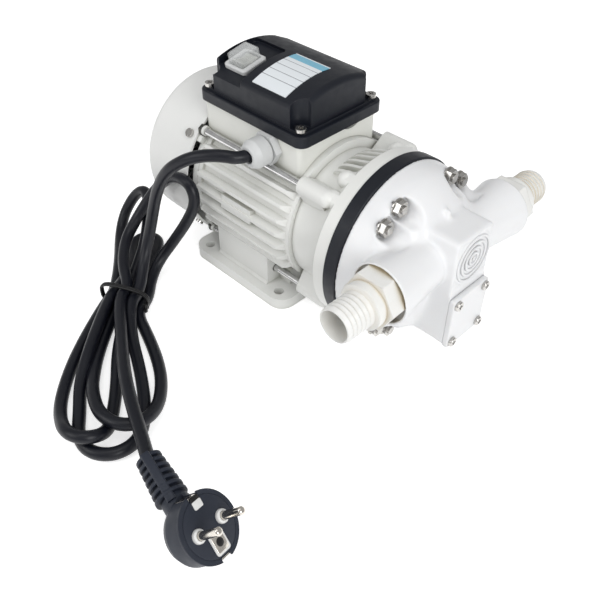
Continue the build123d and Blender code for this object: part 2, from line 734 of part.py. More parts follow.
with BuildPart() as terminal_box_lid:
    slab((lid_rear, lid_front), lid_half_width, 7, (lid_bottom, lid_flange_top))
    fillet(terminal_box_lid.faces().sort_by(Axis.Z)[-1].edges(), 1.0)
    slab((lid_rear + 3.3, lid_front - 3.3), lid_half_width - 3.3, 5.5,
         (lid_bottom, lid_step_top))
    add(lid_dome.part)
    with BuildSketch(Plane.XY.offset(lid_step_top)) as scallops:
        with Locations(*screw_corners):
            Circle(lid_scallop)
    extrude(scallops.sketch, amount=40, mode=Mode.SUBTRACT)
    add(lid_hollow.part, mode=Mode.SUBTRACT)
    with BuildSketch(Plane.XY.offset(lid_bottom)) as lid_holes:
        with Locations(*screw_corners):
            Circle(2.2)
    extrude(lid_holes.sketch, amount=20, mode=Mode.SUBTRACT)
    # opening for the switch body
    switch_box(switch_well / 2 + running_gap, (-switch_well / 2 - running_gap,
               switch_well / 2 + running_gap), (-recess_depth - 8, 0), 1.5, mode=Mode.SUBTRACT)
terminal_box_lid.part.label = "terminal_box_lid"

with BuildPart() as lid_screws:
    with BuildSketch(Plane.XY.offset(lid_step_top + 0.1)) as screw_heads:
        with Locations(*screw_corners):
            Circle(3.6)
    extrude(screw_heads.sketch, amount=2.3)
    with BuildSketch(Plane.XY.offset(box_top - 12)) as screw_shanks:
        with Locations(*screw_corners):
            Circle(lid_screw_radius)
    extrude(screw_shanks.sketch, amount=lid_step_top + 1 - box_top + 12)
    with BuildSketch(Plane.XY.offset(lid_step_top + 1.2)) as drives:
        with Locations(*screw_corners):
            Rectangle(4.4, 0.9)
            Rectangle(0.9, 4.4)
    extrude(drives.sketch, amount=3, mode=Mode.SUBTRACT)
lid_screws.part.label = "lid_screws"

# ---------------------------------------------------------------- switch
well_floor = -recess_depth - 14
pivot_depth = -recess_depth - 3.0
rocker_half = rocker_length / 2
with BuildPart() as switch_body:
    switch_box(switch_well / 2, (-switch_well / 2, switch_well / 2), (well_floor, -recess_depth + 0.1),
               1.4)
    switch_box(rocker_width / 2 + 0.6, (-rocker_half - 0.5, rocker_half + 0.5),
               (well_floor + 2, 0), mode=Mode.SUBTRACT)
    for blade_y in (-5, 0, 5):
        switch_box(3.1, (blade_y - 0.4, blade_y + 0.4), (well_floor - 7, well_floor))
switch_body.part.label = "switch_body"

with BuildPart() as switch_bezel:
    switch_box(bezel_size / 2, (-bezel_size / 2, bezel_size / 2),
               (-recess_depth + face_gap, -recess_depth + bezel_height), 3.0)
    chamfer(switch_bezel.edges().group_by(Axis(switch_top, switch_up))[-1], 0.8)
    switch_box(rocker_width / 2 + 1.7, (-rocker_half - 1.6, rocker_half + 1.6),
               (-recess_depth, 4), 1.6, mode=Mode.SUBTRACT)
switch_bezel.part.label = "switch_bezel"

pivot = tuple(switch_top[i] + switch_up[i] * pivot_depth for i in range(3))
rocker_side = Plane(origin=(pivot[0] - rocker_width / 2, pivot[1], pivot[2]),
                    x_dir=(0, math.cos(switch_slope), math.sin(switch_slope)), z_dir=(1, 0, 0))
half_throw = math.radians(rocker_throw / 2)
with BuildPart() as rocker:
    with BuildSketch(rocker_side) as rocker_section:
        with BuildLine():
            low = -4.0
            high = 5.2
            reach = rocker_half - 0.3
            turned = []
            for across, up in ((-reach + 1.6, low), (-reach, high + 1.3), (-reach * 0.86, high + 1.9),
                               (0, high), (reach * 0.86, high + 1.9), (reach, high + 1.3),
                               (reach - 1.6, low)):
                turned.append((across * math.cos(half_throw) + up * math.sin(half_throw),
                               up * math.cos(half_throw) - across * math.sin(half_throw)))
            Polyline(*turned, close=True)
        make_face()
    extrude(rocker_section.sketch, amount=rocker_width)
rocker.part.label = "rocker"

boot_height = 4.6
with BuildPart() as switch_boot:
    switch_box(rocker_width / 2 + 1.5, (-rocker_half - 1.4, rocker_half + 1.4),
               (-recess_depth + 0.4, boot_height), 1.5)
    fillet(switch_boot.edges().group_by(Axis(switch_top, switch_up))[-1], 1.4)
    switch_box(rocker_width / 2 + 0.7, (-rocker_half - 0.7, rocker_half + 0.7),
               (-recess_depth - 1, boot_height - 0.7), 1.0, mode=Mode.SUBTRACT)
switch_boot.part.label = "switch_boot"

# ---------------------------------------------------------------- rating label
label_span = (0.0, 31.5)
label_edge = (-32.3, 9.0)


def crown_strip(x_span, y_span, lift, height, mode=Mode.ADD):
    """Thin sheet that follows the lid's arched top."""
    with BuildSketch(upright_plane(x_span[0])) as strip:
        with BuildLine():
            points = []
            for radius in (dome_radius + lift, dome_radius + lift + height):
                row = []
                for y in (y_span[0], (y_span[0] + y_span[1]) / 2, y_span[1]):
                    row.append((y, dome_apex - dome_radius + math.sqrt(radius ** 2 - y ** 2)))
                points.append(row)
            ThreePointArc(*points[0])
            Line(points[0][2], points[1][2])
            ThreePointArc(points[1][2], points[1][1], points[1][0])
            Line(points[1][0], points[0][0])
        make_face()
    extrude(strip.sketch, amount=x_span[1] - x_span[0], mode=mode)


with BuildPart() as rating_label:
    crown_strip(label_span, label_edge, 0.0, 0.45)
rating_label.part.label = "rating_label"

# ---------------------------------------------------------------- inside the terminal box
with BuildPart() as run_capacitor:
    round_bar(Plane(origin=(cap_x[0], cap_y, cap_z), z_dir=(1, 0, 0)), cap_radius,
              cap_x[1] - cap_x[0])
    for tab_y in (-5, 5):
        block((cap_x[0] - 7, cap_x[0]), (cap_y + tab_y - 0.4, cap_y + tab_y + 0.4),
              (cap_z - 3.1, cap_z + 3.1))
run_capacitor.part.label = "run_capacitor"

with BuildPart() as terminal_block:
    block((0, 34), (-27.5, -14.5), (123 + face_gap, 134))
    for step in range(4):
        cell_x = 4.75 + step * 8.2
        round_bar(Plane(origin=(cell_x, -21, 128), z_dir=(0, 0, 1)), 2.6, 8, mode=Mode.SUBTRACT)
        round_bar(side_plane(cell_x, -14, 126), 1.7, 16, mode=Mode.SUBTRACT)
        round_bar(Plane(origin=(cell_x, -21, 127.9), z_dir=(0, 0, 1)), 2.3, 3.4)
terminal_block.part.label = "terminal_block"

# ---------------------------------------------------------------- cable gland
wall_y = -box_half_width
with BuildPart() as gland_body:
    round_bar(side_plane(gland_x, wall_y + 4, gland_z), gland_thread, 8)
    hex_bar(side_plane(gland_x, wall_y - face_gap, gland_z), gland_flats, 5.5)
    round_bar(side_plane(gland_x, wall_y - 5.6, gland_z), gland_thread - 0.2, 7)
    round_bar(side_plane(gland_x, wall_y + 9, gland_z), cord_radius + 0.9, 60, mode=Mode.SUBTRACT)
gland_body.part.label = "gland_body"

cap_start = wall_y - 6.9
with BuildPart() as gland_nut:
    with BuildSketch(Plane(origin=(gland_x, 0, gland_z), x_dir=(0, -1, 0), z_dir=(1, 0, 0))) as cap:
        with BuildLine():
            start = -cap_start
            end = -gland_end
            Polyline((start, gland_thread - 0.1), (start, gland_cap_radius),
                     (end - 5, gland_cap_radius), (end - 1.5, gland_cap_radius - 1.8),
                     (end, gland_cap_radius - 3.6), (end, cord_radius + 0.5),
                     (end - 3.5, cord_radius + 0.5), (end - 5, gland_thread - 0.1), close=True)
        make_face()
    revolve(cap.sketch, axis=Axis((gland_x, 0, gland_z), (0, 1, 0)))
gland_nut.part.label = "gland_nut"

seal_start = wall_y - 5.6 - 7 - face_gap
with BuildPart() as gland_seal:
    round_bar(side_plane(gland_x, seal_start, gland_z), gland_thread - 0.3, 2.4)
    round_bar(side_plane(gland_x, seal_start + 6, gland_z), cord_radius + 0.85, 6.5)
    round_bar(side_plane(gland_x, wall_y, gland_z), cord_radius + running_gap, 40, mode=Mode.SUBTRACT)
gland_seal.part.label = "gland_seal"

# ---------------------------------------------------------------- bell housing
bell_neck = barrel_radius - 3.4
bell_rim = ring_radius - 0.5
bolt_angles = []
for centre in (bolt_pair_angle, 180 - bolt_pair_angle, 180 + bolt_pair_angle, -bolt_pair_angle):
    bolt_angles += [centre - bolt_pair_spread, centre + bolt_pair_spread]
bolt_points = [around(bolt_circle, angle) for angle in bolt_angles]
boss_radius = 6.2
stud_start = bell_flange_x - 16
with BuildPart() as bell_housing:
    with BuildSketch(axial_plane) as bell_section:
        with BuildLine():
            neck_start = (frame_front + face_gap, bell_neck)
            neck_end = (frame_front + 5, bell_neck)
            flare = (bell_flange_x - 9.5, bell_rim)
            Line((frame_front + face_gap, 20), neck_start)
            Line(neck_start, neck_end)
            ThreePointArc(neck_end, (76, 53.6), flare)
            Line(flare, (bell_flange_x, bell_rim))
            Line((bell_flange_x, bell_rim), (bell_flange_x, 52))
            Line((bell_flange_x, 52), (86, 51.5))
            Line((86, 51.5), (66, 45.4))
            Line((66, 45.4), (60, 42))
            Line((60, 42), (60, 20))
            Line((60, 20), (frame_front + face_gap, 20))
        make_face()
    revolve(bell_section.sketch, axis=shaft_axis)
    tube(frame_front - 4, frame_front + 1, 43, barrel_bore - running_gap)
    tube(front_bearing_start - 1.5, front_bearing_start + front_bearing_width,
         front_bearing_outer, front_bearing_outer + 4)
    tube(front_bearing_start + front_bearing_width, front_bearing_start + front_bearing_width + 2,
         13.5, front_bearing_outer + 4)
    # lugs that take the tie rods
    for angle in (rod_angle, -rod_angle, 180 - rod_angle, rod_angle - 180):
        lug_y, lug_z = around(rod_circle, angle)
        with BuildSketch(cross_plane(frame_front + 2)) as lug:
            with Locations((lug_y, lug_z)):
                Circle(6.2)
            with BuildLine():
                inner_y, inner_z = around(46, angle)
                turn_y, turn_z = around(6.2, angle + 90)
                Polyline((lug_y + turn_y, lug_z + turn_z), (lug_y - turn_y, lug_z - turn_z),
                         (inner_y - turn_y * 1.5, inner_z - turn_z * 1.5),
                         (inner_y + turn_y * 1.5, inner_z + turn_z * 1.5), close=True)
            make_face()
        extrude(lug.sketch, amount=bell_lug_end - frame_front - 2)
        with Locations((bell_lug_end, lug_y, lug_z + shaft_height)):
            Sphere(boss_radius)
    # blind bosses round the studs
    for stud_y, stud_z in bolt_points:
        with Locations((stud_start, stud_y, stud_z + shaft_height)):
            Sphere(boss_radius)
    with BuildSketch(cross_plane(stud_start)) as stud_bosses:
        for point in bolt_points:
            with Locations(point):
                Circle(boss_radius)
        Circle(bell_rim, mode=Mode.INTERSECT)
    extrude(stud_bosses.sketch, amount=bell_flange_x - stud_start)
    # short curved ribs on the crown of the flare
    for angle in (-7, -1.2, 4.6, 10.4, 16.2, 22):
        rib_y, rib_z = around(1, angle)
        rib_plane = Plane(origin=(0, 0, shaft_height), x_dir=(1, 0, 0), z_dir=(0, -rib_z, rib_y))
        with BuildSketch(rib_plane) as rib:
            with BuildLine():
                Line((63, 48), (63, bell_neck + 0.6))
                Spline((63, bell_neck + 0.6), (69, 55.6), (78, 59.2), (86, 61.9))
                Line((86, 61.9), (86, 58))
                Line((86, 58), (63, 48))
            make_face()
        extrude(rib.sketch, amount=1.1, both=True)
    tube(60, bell_flange_x + 1, 0, 42, mode=Mode.SUBTRACT)
    turn((66, 0), (66, 45.4), (86, 51.5), (bell_flange_x, 52), (bell_flange_x, 0),
         mode=Mode.SUBTRACT)
    with BuildSketch(cross_plane(frame_front)) as rod_holes:
        for point in rod_points:
            with Locations(point):
                Circle(rod_radius + running_gap)
    extrude(rod_holes.sketch, amount=bell_lug_end - frame_front, mode=Mode.SUBTRACT)
    with BuildSketch(cross_plane(stud_start)) as stud_holes:
        for point in bolt_points:
            with Locations(point):
                Circle(bolt_radius + running_gap)
    extrude(stud_holes.sketch, amount=bell_flange_x - stud_start, mode=Mode.SUBTRACT)
bell_housing.part.label = "bell_housing"

nut_seat = 122.0
with BuildPart() as bell_bolts:
    with BuildSketch(cross_plane(stud_start + 0.1)) as studs:
        for point in bolt_points:
            with Locations(point):
                Circle(bolt_radius)
    extrude(studs.sketch, amount=nut_seat + 6.4 - stud_start)
bell_bolts.part.label = "bell_bolts"

# ---------------------------------------------------------------- diaphragm and valves
chamber_points = [around(chamber_circle, angle) for angle in chamber_angles]
with BuildPart() as diaphragm_ring:
    tube(bell_flange_x + face_gap, ring_front, 0, ring_radius)
    chamfer(diaphragm_ring.edges().group_by(Axis.X)[-1], 0.5)
    with BuildSketch(cross_plane(bell_flange_x)) as ring_cuts:
        for point in chamber_points:
            with Locations(point):
                Circle(piston_window)
        for point in bolt_points:
            with Locations(point):
                Circle(bolt_radius + running_gap)
        Circle(chamber_circle - piston_window - 3.5)
    extrude(ring_cuts.sketch, amount=20, mode=Mode.SUBTRACT)
diaphragm_ring.part.label = "diaphragm_ring"

with BuildPart() as diaphragm:
    tube(sheet_rear, sheet_front, 0, valve_plate_radius)
    with BuildSketch(cross_plane(sheet_rear)) as windows:
        for point in chamber_points:
            with Locations(point):
                Circle(piston_radius + 3.2)
    extrude(windows.sketch, amount=diaphragm_sheet, mode=Mode.SUBTRACT)
diaphragm.part.label = "diaphragm"

chamber_floor = sheet_front + 4.6
inlet_points = [around(chamber_circle - 7.5, angle) for angle in chamber_angles]
outlet_points = [around(chamber_circle + 7.5, angle) for angle in chamber_angles]
with BuildPart() as valve_plate:
    tube(sheet_front, valve_plate_front, 0, valve_plate_radius)
    with BuildSketch(cross_plane(sheet_front)) as chambers:
        for point in chamber_points:
            with Locations(point):
                Circle(piston_window + 0.5)
    extrude(chambers.sketch, amount=chamber_floor - sheet_front, mode=Mode.SUBTRACT)
    with BuildSketch(cross_plane(chamber_floor)) as inlet_seats:
        for point in inlet_points:
            with Locations(point):
                Circle(6.6)
    extrude(inlet_seats.sketch, amount=1.3, mode=Mode.SUBTRACT)
    with BuildSketch(cross_plane(sheet_front)) as flow_holes:
        for y, z in inlet_points + outlet_points:
            with Locations((y, z)):
                Circle(1.25)
            for dy, dz in ((3.2, 0), (-3.2, 0), (0, 3.2), (0, -3.2)):
                with Locations((y + dy, z + dz)):
                    Circle(1.3)
    extrude(flow_holes.sketch, amount=20, mode=Mode.SUBTRACT)
valve_plate.part.label = "valve_plate"


def umbrella(plane_x, points, direction):
    """Umbrella valves: a disc with a stem through the plate."""
    for point in points:
        with BuildSketch(cross_plane(plane_x)) as disc:
            with Locations(point):
                Circle(5.6)
        extrude(disc.sketch, amount=-direction * 0.9)
        with BuildSketch(cross_plane(plane_x)) as stem:
            with Locations(point):
                Circle(1.2)
        extrude(stem.sketch, amount=direction * 3.4)


with BuildPart() as inlet_valves:
    umbrella(chamber_floor + 1.25, inlet_points, 1)
inlet_valves.part.label = "inlet_valves"

with BuildPart() as outlet_valves:
    umbrella(valve_plate_front + 0.05, outlet_points, -1)
outlet_valves.part.label = "outlet_valves"

# ---------------------------------------------------------------- pump head
port_plane = Plane(origin=(port_x, 0, port_z), x_dir=(0, 1, 0), z_dir=(1, 0, 0))
port_axis = Axis((port_x, 0, port_z), (0, 1, 0))
recess_y = port_end - 4

with BuildPart() as head_shell:
    with BuildSketch(axial_plane) as dome_section:
        with BuildLine():
            Line((ring_front + face_gap, 0), (ring_front + face_gap, ring_radius - 1.2))
            Line((ring_front + face_gap, ring_radius - 1.2), (112, ring_radius - 1.6))
            Spline((112, ring_radius - 1.6), (122, 59.6), (134, 52.4), (143, 41), (149, 24),
                   (150.5, 0), tangents=[(1, -0.08), (0, -1)])
            Line((150.5, 0), (ring_front + face_gap, 0))
        make_face()
    revolve(dome_section.sketch, axis=shaft_axis)
    with BuildSketch(port_plane) as port_section:
        with BuildLine():
            Polyline((-port_end, 0), (-port_end, port_radius),
                     (0, port_root_radius), (port_end, port_radius), (port_end, 0), close=True)
        make_face()
    revolve(port_section.sketch, axis=port_axis)
    # the tubes flow into the dome
    roots = head_shell.edges().filter_by(GeomType.BSPLINE).sort_by(SortBy.LENGTH)[-2:]
    fillet(roots, port_root_blend)

with BuildPart() as pump_head:
    add(head_shell.part)
    with BuildSketch(upright_plane(128)) as nose_section:
        with Locations((0, (nose_bottom + nose_top) / 2)):
            RectangleRounded(2 * nose_half_width, nose_top - nose_bottom, nose_corner)
    extrude(nose_section.sketch, amount=nose_face - 128)
    # counterbore for the diaphragm and the valve plate
    tube(ring_front, valve_plate_front + 0.1, 0, valve_plate_radius + running_gap,
         mode=Mode.SUBTRACT)
    # inlet and outlet chambers, parted by a wall
    turn((valve_plate_front, 0), (valve_plate_front, 46), (124, 45.5), (133, 38), (139, 27),
         (142, 0), mode=Mode.SUBTRACT)
    block((valve_plate_front + 0.3, 145), (-1.6, 1.6), (shaft_height - 47, shaft_height + 47))
    for side in (1, -1):
        bore_plane = side_plane(port_x, side * 4, port_z, direction=side)
        round_bar(bore_plane, port_bore, port_end, mode=Mode.SUBTRACT)
        chamber_way = Plane(origin=(125, side * 22, port_z), x_dir=(0, 1, 0), z_dir=(1, 0, 0))
        round_bar(chamber_way, port_bore - 1, port_x - 125, mode=Mode.SUBTRACT)
        round_bar(side_plane(port_x, side * (recess_y - 10), port_z, direction=side),
                  16 + running_gap, 20, mode=Mode.SUBTRACT)
        round_bar(side_plane(port_x, side * recess_y, port_z, direction=side),
                  hex_flats / 2 + 2.9, 10, mode=Mode.SUBTRACT)
    # seats of the head nuts
    with BuildSketch(cross_plane(nut_seat)) as nut_seats:
        for point in bolt_points:
            with Locations(point):
                Circle(7.4)
    extrude(nut_seats.sketch, amount=18, taper=-8, mode=Mode.SUBTRACT)
    with BuildSketch(cross_plane(ring_front)) as head_holes:
        for point in bolt_points:
            with Locations(point):
                Circle(bolt_radius + running_gap)
    extrude(head_holes.sketch, amount=20, mode=Mode.SUBTRACT)
    # relief rings on the nose
    with BuildSketch(Plane(origin=(nose_face - 0.9, 0, relief_z), x_dir=(0, 1, 0),
                           z_dir=(1, 0, 0))) as relief:
        Rectangle(2 * relief_radius, 2 * relief_radius)
        Circle(relief_radius + 1.0, mode=Mode.SUBTRACT)
        for outer in (relief_radius - 0.6, relief_radius - 4.4, relief_radius - 8.2,
                      relief_radius - 12.0):
            Circle(outer)
            Circle(outer - 1.7, mode=Mode.SUBTRACT)
    extrude(relief.sketch, amount=3, mode=Mode.SUBTRACT)
    # bypass bore and its seat
    round_bar(Plane(origin=(148, 0, bypass_z), z_dir=(1, 0, 0)), bypass_bore, 30,
              mode=Mode.SUBTRACT)
    round_bar(Plane(origin=(132, 0, bypass_z), z_dir=(1, 0, 0)), bypass_bore - 4, 30,
              mode=Mode.SUBTRACT)
    cover_screws = [(y, z) for y in (-cover_screw_y, cover_screw_y) for z in cover_screw_z]
    with BuildSketch(upright_plane(nose_face - 9)) as cover_taps:
        with Locations(*cover_screws):
            Circle(1.95)
    extrude(cover_taps.sketch, amount=12, mode=Mode.SUBTRACT)
pump_head.part.label = "pump_head"

with BuildPart() as head_nuts:
    for point in bolt_points:
        with BuildSketch(cross_plane(nut_seat + 0.1)) as nut:
            with Locations(point):
                RegularPolygon(nut_flats / 2, 6, major_radius=False)
                Circle(bolt_radius + running_gap, mode=Mode.SUBTRACT)
        extrude(nut.sketch, amount=5)
        with BuildSketch(cross_plane(nut_seat + 0.1)) as washer:
            with Locations(point):
                Circle(nut_flats / 2 + 1.2)
                Circle(bolt_radius + running_gap, mode=Mode.SUBTRACT)
        extrude(washer.sketch, amount=0.9)
head_nuts.part.label = "head_nuts"

# ---------------------------------------------------------------- hose barbs
collar_end = 82.0


def hose_barb(side):
    """Hex body, collar and barbed tail along +Y or -Y."""
    step = (barb_end - collar_end) / barb_count
    profile = [(recess_y - 9, port_bore), (recess_y - 9, 16 - 0.05), (recess_y, 16 - 0.05),
               (recess_y, hex_flats / 2 - 2), (port_end + 10, hex_flats / 2 - 2),
               (port_end + 12, 15.5), (collar_end - 1, 15.5), (collar_end, barb_radius)]
    for ring in range(barb_count):
        start = collar_end + step * ring
        profile.append((start + 0.2, barb_radius))
        profile.append((start + step - 0.1, barb_radius - 1.0))
    profile += [(barb_end, port_bore + 0.7), (barb_end, port_bore)]
    section_plane = Plane(origin=(port_x, 0, port_z), x_dir=(0, side, 0), z_dir=(side, 0, 0))
    with BuildSketch(section_plane) as section:
        with BuildLine():
            Polyline(*profile, close=True)
        make_face()
    revolve(section.sketch, axis=port_axis)
    hex_plane = side_plane(port_x, side * (recess_y + face_gap), port_z, direction=side)
    with BuildSketch(hex_plane) as hex_section:
        RegularPolygon(hex_flats / 2, 6, major_radius=False)
        Circle(port_bore, mode=Mode.SUBTRACT)
    extrude(hex_section.sketch, amount=port_end + 10 - recess_y)


with BuildPart() as inlet_hose_barb:
    hose_barb(1)
inlet_hose_barb.part.label = "inlet_hose_barb"

with BuildPart() as outlet_hose_barb:
    hose_barb(-1)
outlet_hose_barb.part.label = "outlet_hose_barb"

# ---------------------------------------------------------------- bypass valve and its cover
poppet_start = 148.1
with BuildPart() as bypass_poppet:
    with BuildSketch(Plane(origin=(0, 0, bypass_z), x_dir=(1, 0, 0), z_dir=(0, -1, 0))) as poppet:
        with BuildLine():
            Polyline((poppet_start - 2, 0), (poppet_start - 2, 3.2), (poppet_start, 4.8),
                     (poppet_start, bypass_bore - 0.08), (poppet_start + 7, bypass_bore - 0.08),
                     (poppet_start + 7, bypass_bore - 1.8), (poppet_start + 2.5, bypass_bore - 1.8),
                     (poppet_start + 2.5, 3.0), (poppet_start + 8, 3.0), (poppet_start + 8, 0),
                     close=True)
        make_face()
    revolve(poppet.sketch, axis=Axis((0, 0, bypass_z), (1, 0, 0)))
bypass_poppet.part.label = "bypass_poppet"

wire_radius = 0.7
coil_radius = 5.2
with BuildPart() as bypass_spring:
    with BuildLine() as coil:
        Helix(pitch=2.4, height=10.6, radius=coil_radius,
              center=(poppet_start + 3.3, 0, bypass_z), direction=(1, 0, 0))
    with BuildSketch(Plane(origin=coil.line @ 0, z_dir=coil.line % 0)) as wire:
        Circle(wire_radius)
    sweep(wire.sketch, path=coil.line)
bypass_spring.part.label = "bypass_spring"

with BuildPart() as bypass_cover:
    with BuildSketch(upright_plane(nose_face + face_gap)) as cover_outline:
        with Locations((0, (nose_bottom + cover_top) / 2)):
            RectangleRounded(2 * nose_half_width, cover_top - nose_bottom, 2.0)
        with Locations(*cover_screws):
            Circle(2.1, mode=Mode.SUBTRACT)
    extrude(cover_outline.sketch, amount=cover_face - nose_face - face_gap)
    chamfer(bypass_cover.faces().sort_by(Axis.X)[-1].outer_wire().edges(), 0.6)
    round_bar(Plane(origin=(nose_face, 0, bypass_z), z_dir=(1, 0, 0)), 7.2, 2.4,
              mode=Mode.SUBTRACT)
bypass_cover.part.label = "bypass_cover"

with BuildPart() as bypass_cover_screws:
    with BuildSketch(upright_plane(cover_face + 0.1)) as cover_heads:
        with Locations(*cover_screws):
            Circle(3.5)
    extrude(cover_heads.sketch, amount=2.2)
    fillet(bypass_cover_screws.edges().group_by(Axis.X)[-1], 0.8)
    with BuildSketch(upright_plane(nose_face - 8)) as cover_shanks:
        with Locations(*cover_screws):
            Circle(1.9)
    extrude(cover_shanks.sketch, amount=cover_face + 1 - nose_face + 8)
    with BuildSketch(upright_plane(cover_face + 1.4)) as cover_drives:
        with Locations(*cover_screws):
            Rectangle(4.0, 0.9)
            Rectangle(0.9, 4.0)
    extrude(cover_drives.sketch, amount=3, mode=Mode.SUBTRACT)
bypass_cover_screws.part.label = "bypass_cover_screws"

# ---------------------------------------------------------------- mains cord
strand_points = [(gland_x, -40.0, gland_z), (gland_x, -62.0, gland_z), (10.5, -71.5, 122.4),
                 (-4.5, -81.5, 119.5), (-21.0, -89.0, 108.0), (-32.0, -91.5, 94.0),
                 (-41.0, -92.5, 77.0), (-47.0, -94.0, 58.0), (-49.0, -99.5, 38.0),
                 (-47.5, -112.0, 20.5), (-42.0, -127.0, 11.0)]
lead_points = [(-31.0, -142.0, 22.5), (5.0, -165.5, 22.5), (38.0, -185.0, 22.5),
               (64.0, -197.2, 22.5), (86.0, -206.2, 22.8), (105.0, -214.5, 26.0)]


def bend_radii(points):
    """Radius of the arc at each inner point, from the shorter of the two runs beside it."""
    radii = []
    for before, corner, after in zip(points, points[1:], points[2:]):
        start = Vector(*corner) - Vector(*before)
        end = Vector(*after) - Vector(*corner)
        half_turn = math.radians(start.get_angle(end)) / 2
        radii.append(0.45 * min(start.length, end.length) / math.tan(half_turn))
    return radii


def cord_run(points):
    """Round cord along straight runs joined by tangent arcs."""
    with BuildLine() as route:
        FilletPolyline(*points, radius=bend_radii(points))
    with BuildSketch(Plane(origin=route.line @ 0, z_dir=route.line % 0)) as section:
        Circle(cord_radius)
    sweep(section.sketch, path=route.line)
    print("bend radii", [round(radius, 1) for radius in bend_radii(points)],
          "length", round(sum(edge.length for edge in route.edges()), 1))


with BuildPart() as power_cord:
    cord_run(strand_points)
power_cord.part.label = "power_cord"

with BuildPart() as cord_lead:
    cord_run(lead_points)
cord_lead.part.label = "cord_lead"

# ---------------------------------------------------------------- hank of spare cord
bundle_centre = (-38.0, -135.0)
bundle_direction = (0.42, -0.907)
bundle_plane = Plane(origin=(bundle_centre[0], bundle_centre[1], 0),
                     x_dir=(bundle_direction[0], bundle_direction[1], 0), z_dir=(0, 0, 1))
with BuildPart() as rising_side:
    with BuildSketch(upright_plane(-130)) as rise_side:
        with BuildLine():
            Polyline((-99, 0), (-99, 10), (-78, 50), (-73, 79), (-64, 79), (-64.5, 45),
                     (-80, 0), close=True)
        make_face()
    extrude(rise_side.sketch, amount=110)

with BuildPart() as rising_front:
    with BuildSketch(Plane(origin=(0, -50, 0), x_dir=(1, 0, 0), z_dir=(0, -1, 0))) as rise_front:
        with BuildLine():
            Polyline((-31, 0), (-31, 62), (-42, 79), (-58, 79), (-80, 62), (-104, 48),
                     (-114, 25), (-112, 0), close=True)
        make_face()
    extrude(rise_front.sketch, amount=60)
    add(rising_side.part, mode=Mode.INTERSECT)

with BuildPart() as cord_hank:
    with BuildSketch() as fan:
        with BuildLine():
            Polyline((-20, -128), (20, -143), (56, -160), (78, -185), (86, -215), (76, -236),
                     (42, -238), (2, -222), (-40, -175), (-56, -145), close=True)
        make_face()
    extrude(fan.sketch, amount=hank_height)
    with BuildSketch() as fan_rear:
        with BuildLine():
            Polyline((-112, -86), (-31, -86), (-22, -135), (-55, -139), close=True)
        make_face()
    extrude(fan_rear.sketch, amount=hank_height)
    with BuildSketch(bundle_plane) as bundle:
        RectangleRounded(bundle_length + 10, bundle_width, 8)
    extrude(bundle.sketch, amount=bundle_height)
    fillet(cord_hank.faces().sort_by(Axis.Z)[-1].edges(), 5)
    add(rising_front.part)
    with BuildSketch(bundle_plane) as tie_groove:
        Rectangle(tie_width + 0.4, bundle_width + 10)
        Rectangle(tie_width + 0.4, bundle_width - 2, mode=Mode.SUBTRACT)
    extrude(tie_groove.sketch, amount=bundle_height + 5, mode=Mode.SUBTRACT)
    with BuildSketch(bundle_plane.offset(bundle_height - 1)) as tie_top:
        Rectangle(tie_width + 0.4, bundle_width + 10)
    extrude(tie_top.sketch, amount=5, mode=Mode.SUBTRACT)
    with BuildSketch(bundle_plane) as tie_under:
        Rectangle(tie_width + 0.4, bundle_width + 10)
    extrude(tie_under.sketch, amount=1.4, mode=Mode.SUBTRACT)
cord_hank.part.label = "cord_hank"

with BuildPart() as hank_tie:
    with BuildSketch(bundle_plane.offset(0.3)) as tie_outer:
        Rectangle(tie_width, bundle_width - 0.2)
    extrude(tie_outer.sketch, amount=bundle_height - 0.3 + 0.1)
    with BuildSketch(bundle_plane.offset(1.4 - 0.05)) as tie_inner:
        Rectangle(tie_width, bundle_width - 2 + 0.1)
    extrude(tie_inner.sketch, amount=bundle_height - 1 - 1.4 + 0.1, mode=Mode.SUBTRACT)
hank_tie.part.label = "hank_tie"

# ---------------------------------------------------------------- plug
plug_front = Plane(origin=(163.5, -217.0, 25.0), x_dir=(-0.18, 0.948, -0.264),
                  z_dir=(0.64, 0.32, 0.70))
relief_start = Vector(*lead_points[-1])
relief_end = Vector(134.0, -219.6, 21.3)
neck_end = plug_front.offset(-plug_depth / 2).origin
with BuildPart() as plug_body:
    with BuildSketch(plug_front.offset(-plug_depth)) as plug_back:
        Circle(plug_face_radius - 3)
    with BuildSketch(plug_front.offset(-plug_depth + 5)) as plug_waist:
        Circle(plug_face_radius - 0.8)
    loft(sections=[plug_back.sketch, plug_waist.sketch])
    with BuildSketch(plug_front.offset(-plug_depth + 5)) as plug_barrel:
        Circle(plug_face_radius - 0.8)
    extrude(plug_barrel.sketch, amount=plug_depth - 6.4)
    with BuildSketch(plug_front.offset(-1.4)) as plug_rim:
        Circle(plug_face_radius)
        Circle(plug_face_radius - 2.6, mode=Mode.SUBTRACT)
    extrude(plug_rim.sketch, amount=1.4)
    # neck that takes the cord
    neck_direction = (neck_end - relief_end).normalized()
    neck_length = (neck_end - relief_end).length - 6
    with BuildSketch(Plane(origin=relief_end, z_dir=neck_direction)) as neck_small:
        Circle(7.6)
    with BuildSketch(Plane(origin=relief_end, z_dir=neck_direction).offset(neck_length)) as neck_big:
        Circle(10.5)
    loft(sections=[neck_small.sketch, neck_big.sketch])
    # earth contact grooves on both sides
    for side in (1, -1):
        with BuildSketch(plug_front) as earth_groove:
            with Locations((0, side * (plug_face_radius - 0.4))):
                Rectangle(7.6, 4.4)
        extrude(earth_groove.sketch, amount=-13, mode=Mode.SUBTRACT)
plug_body.part.label = "plug_body"

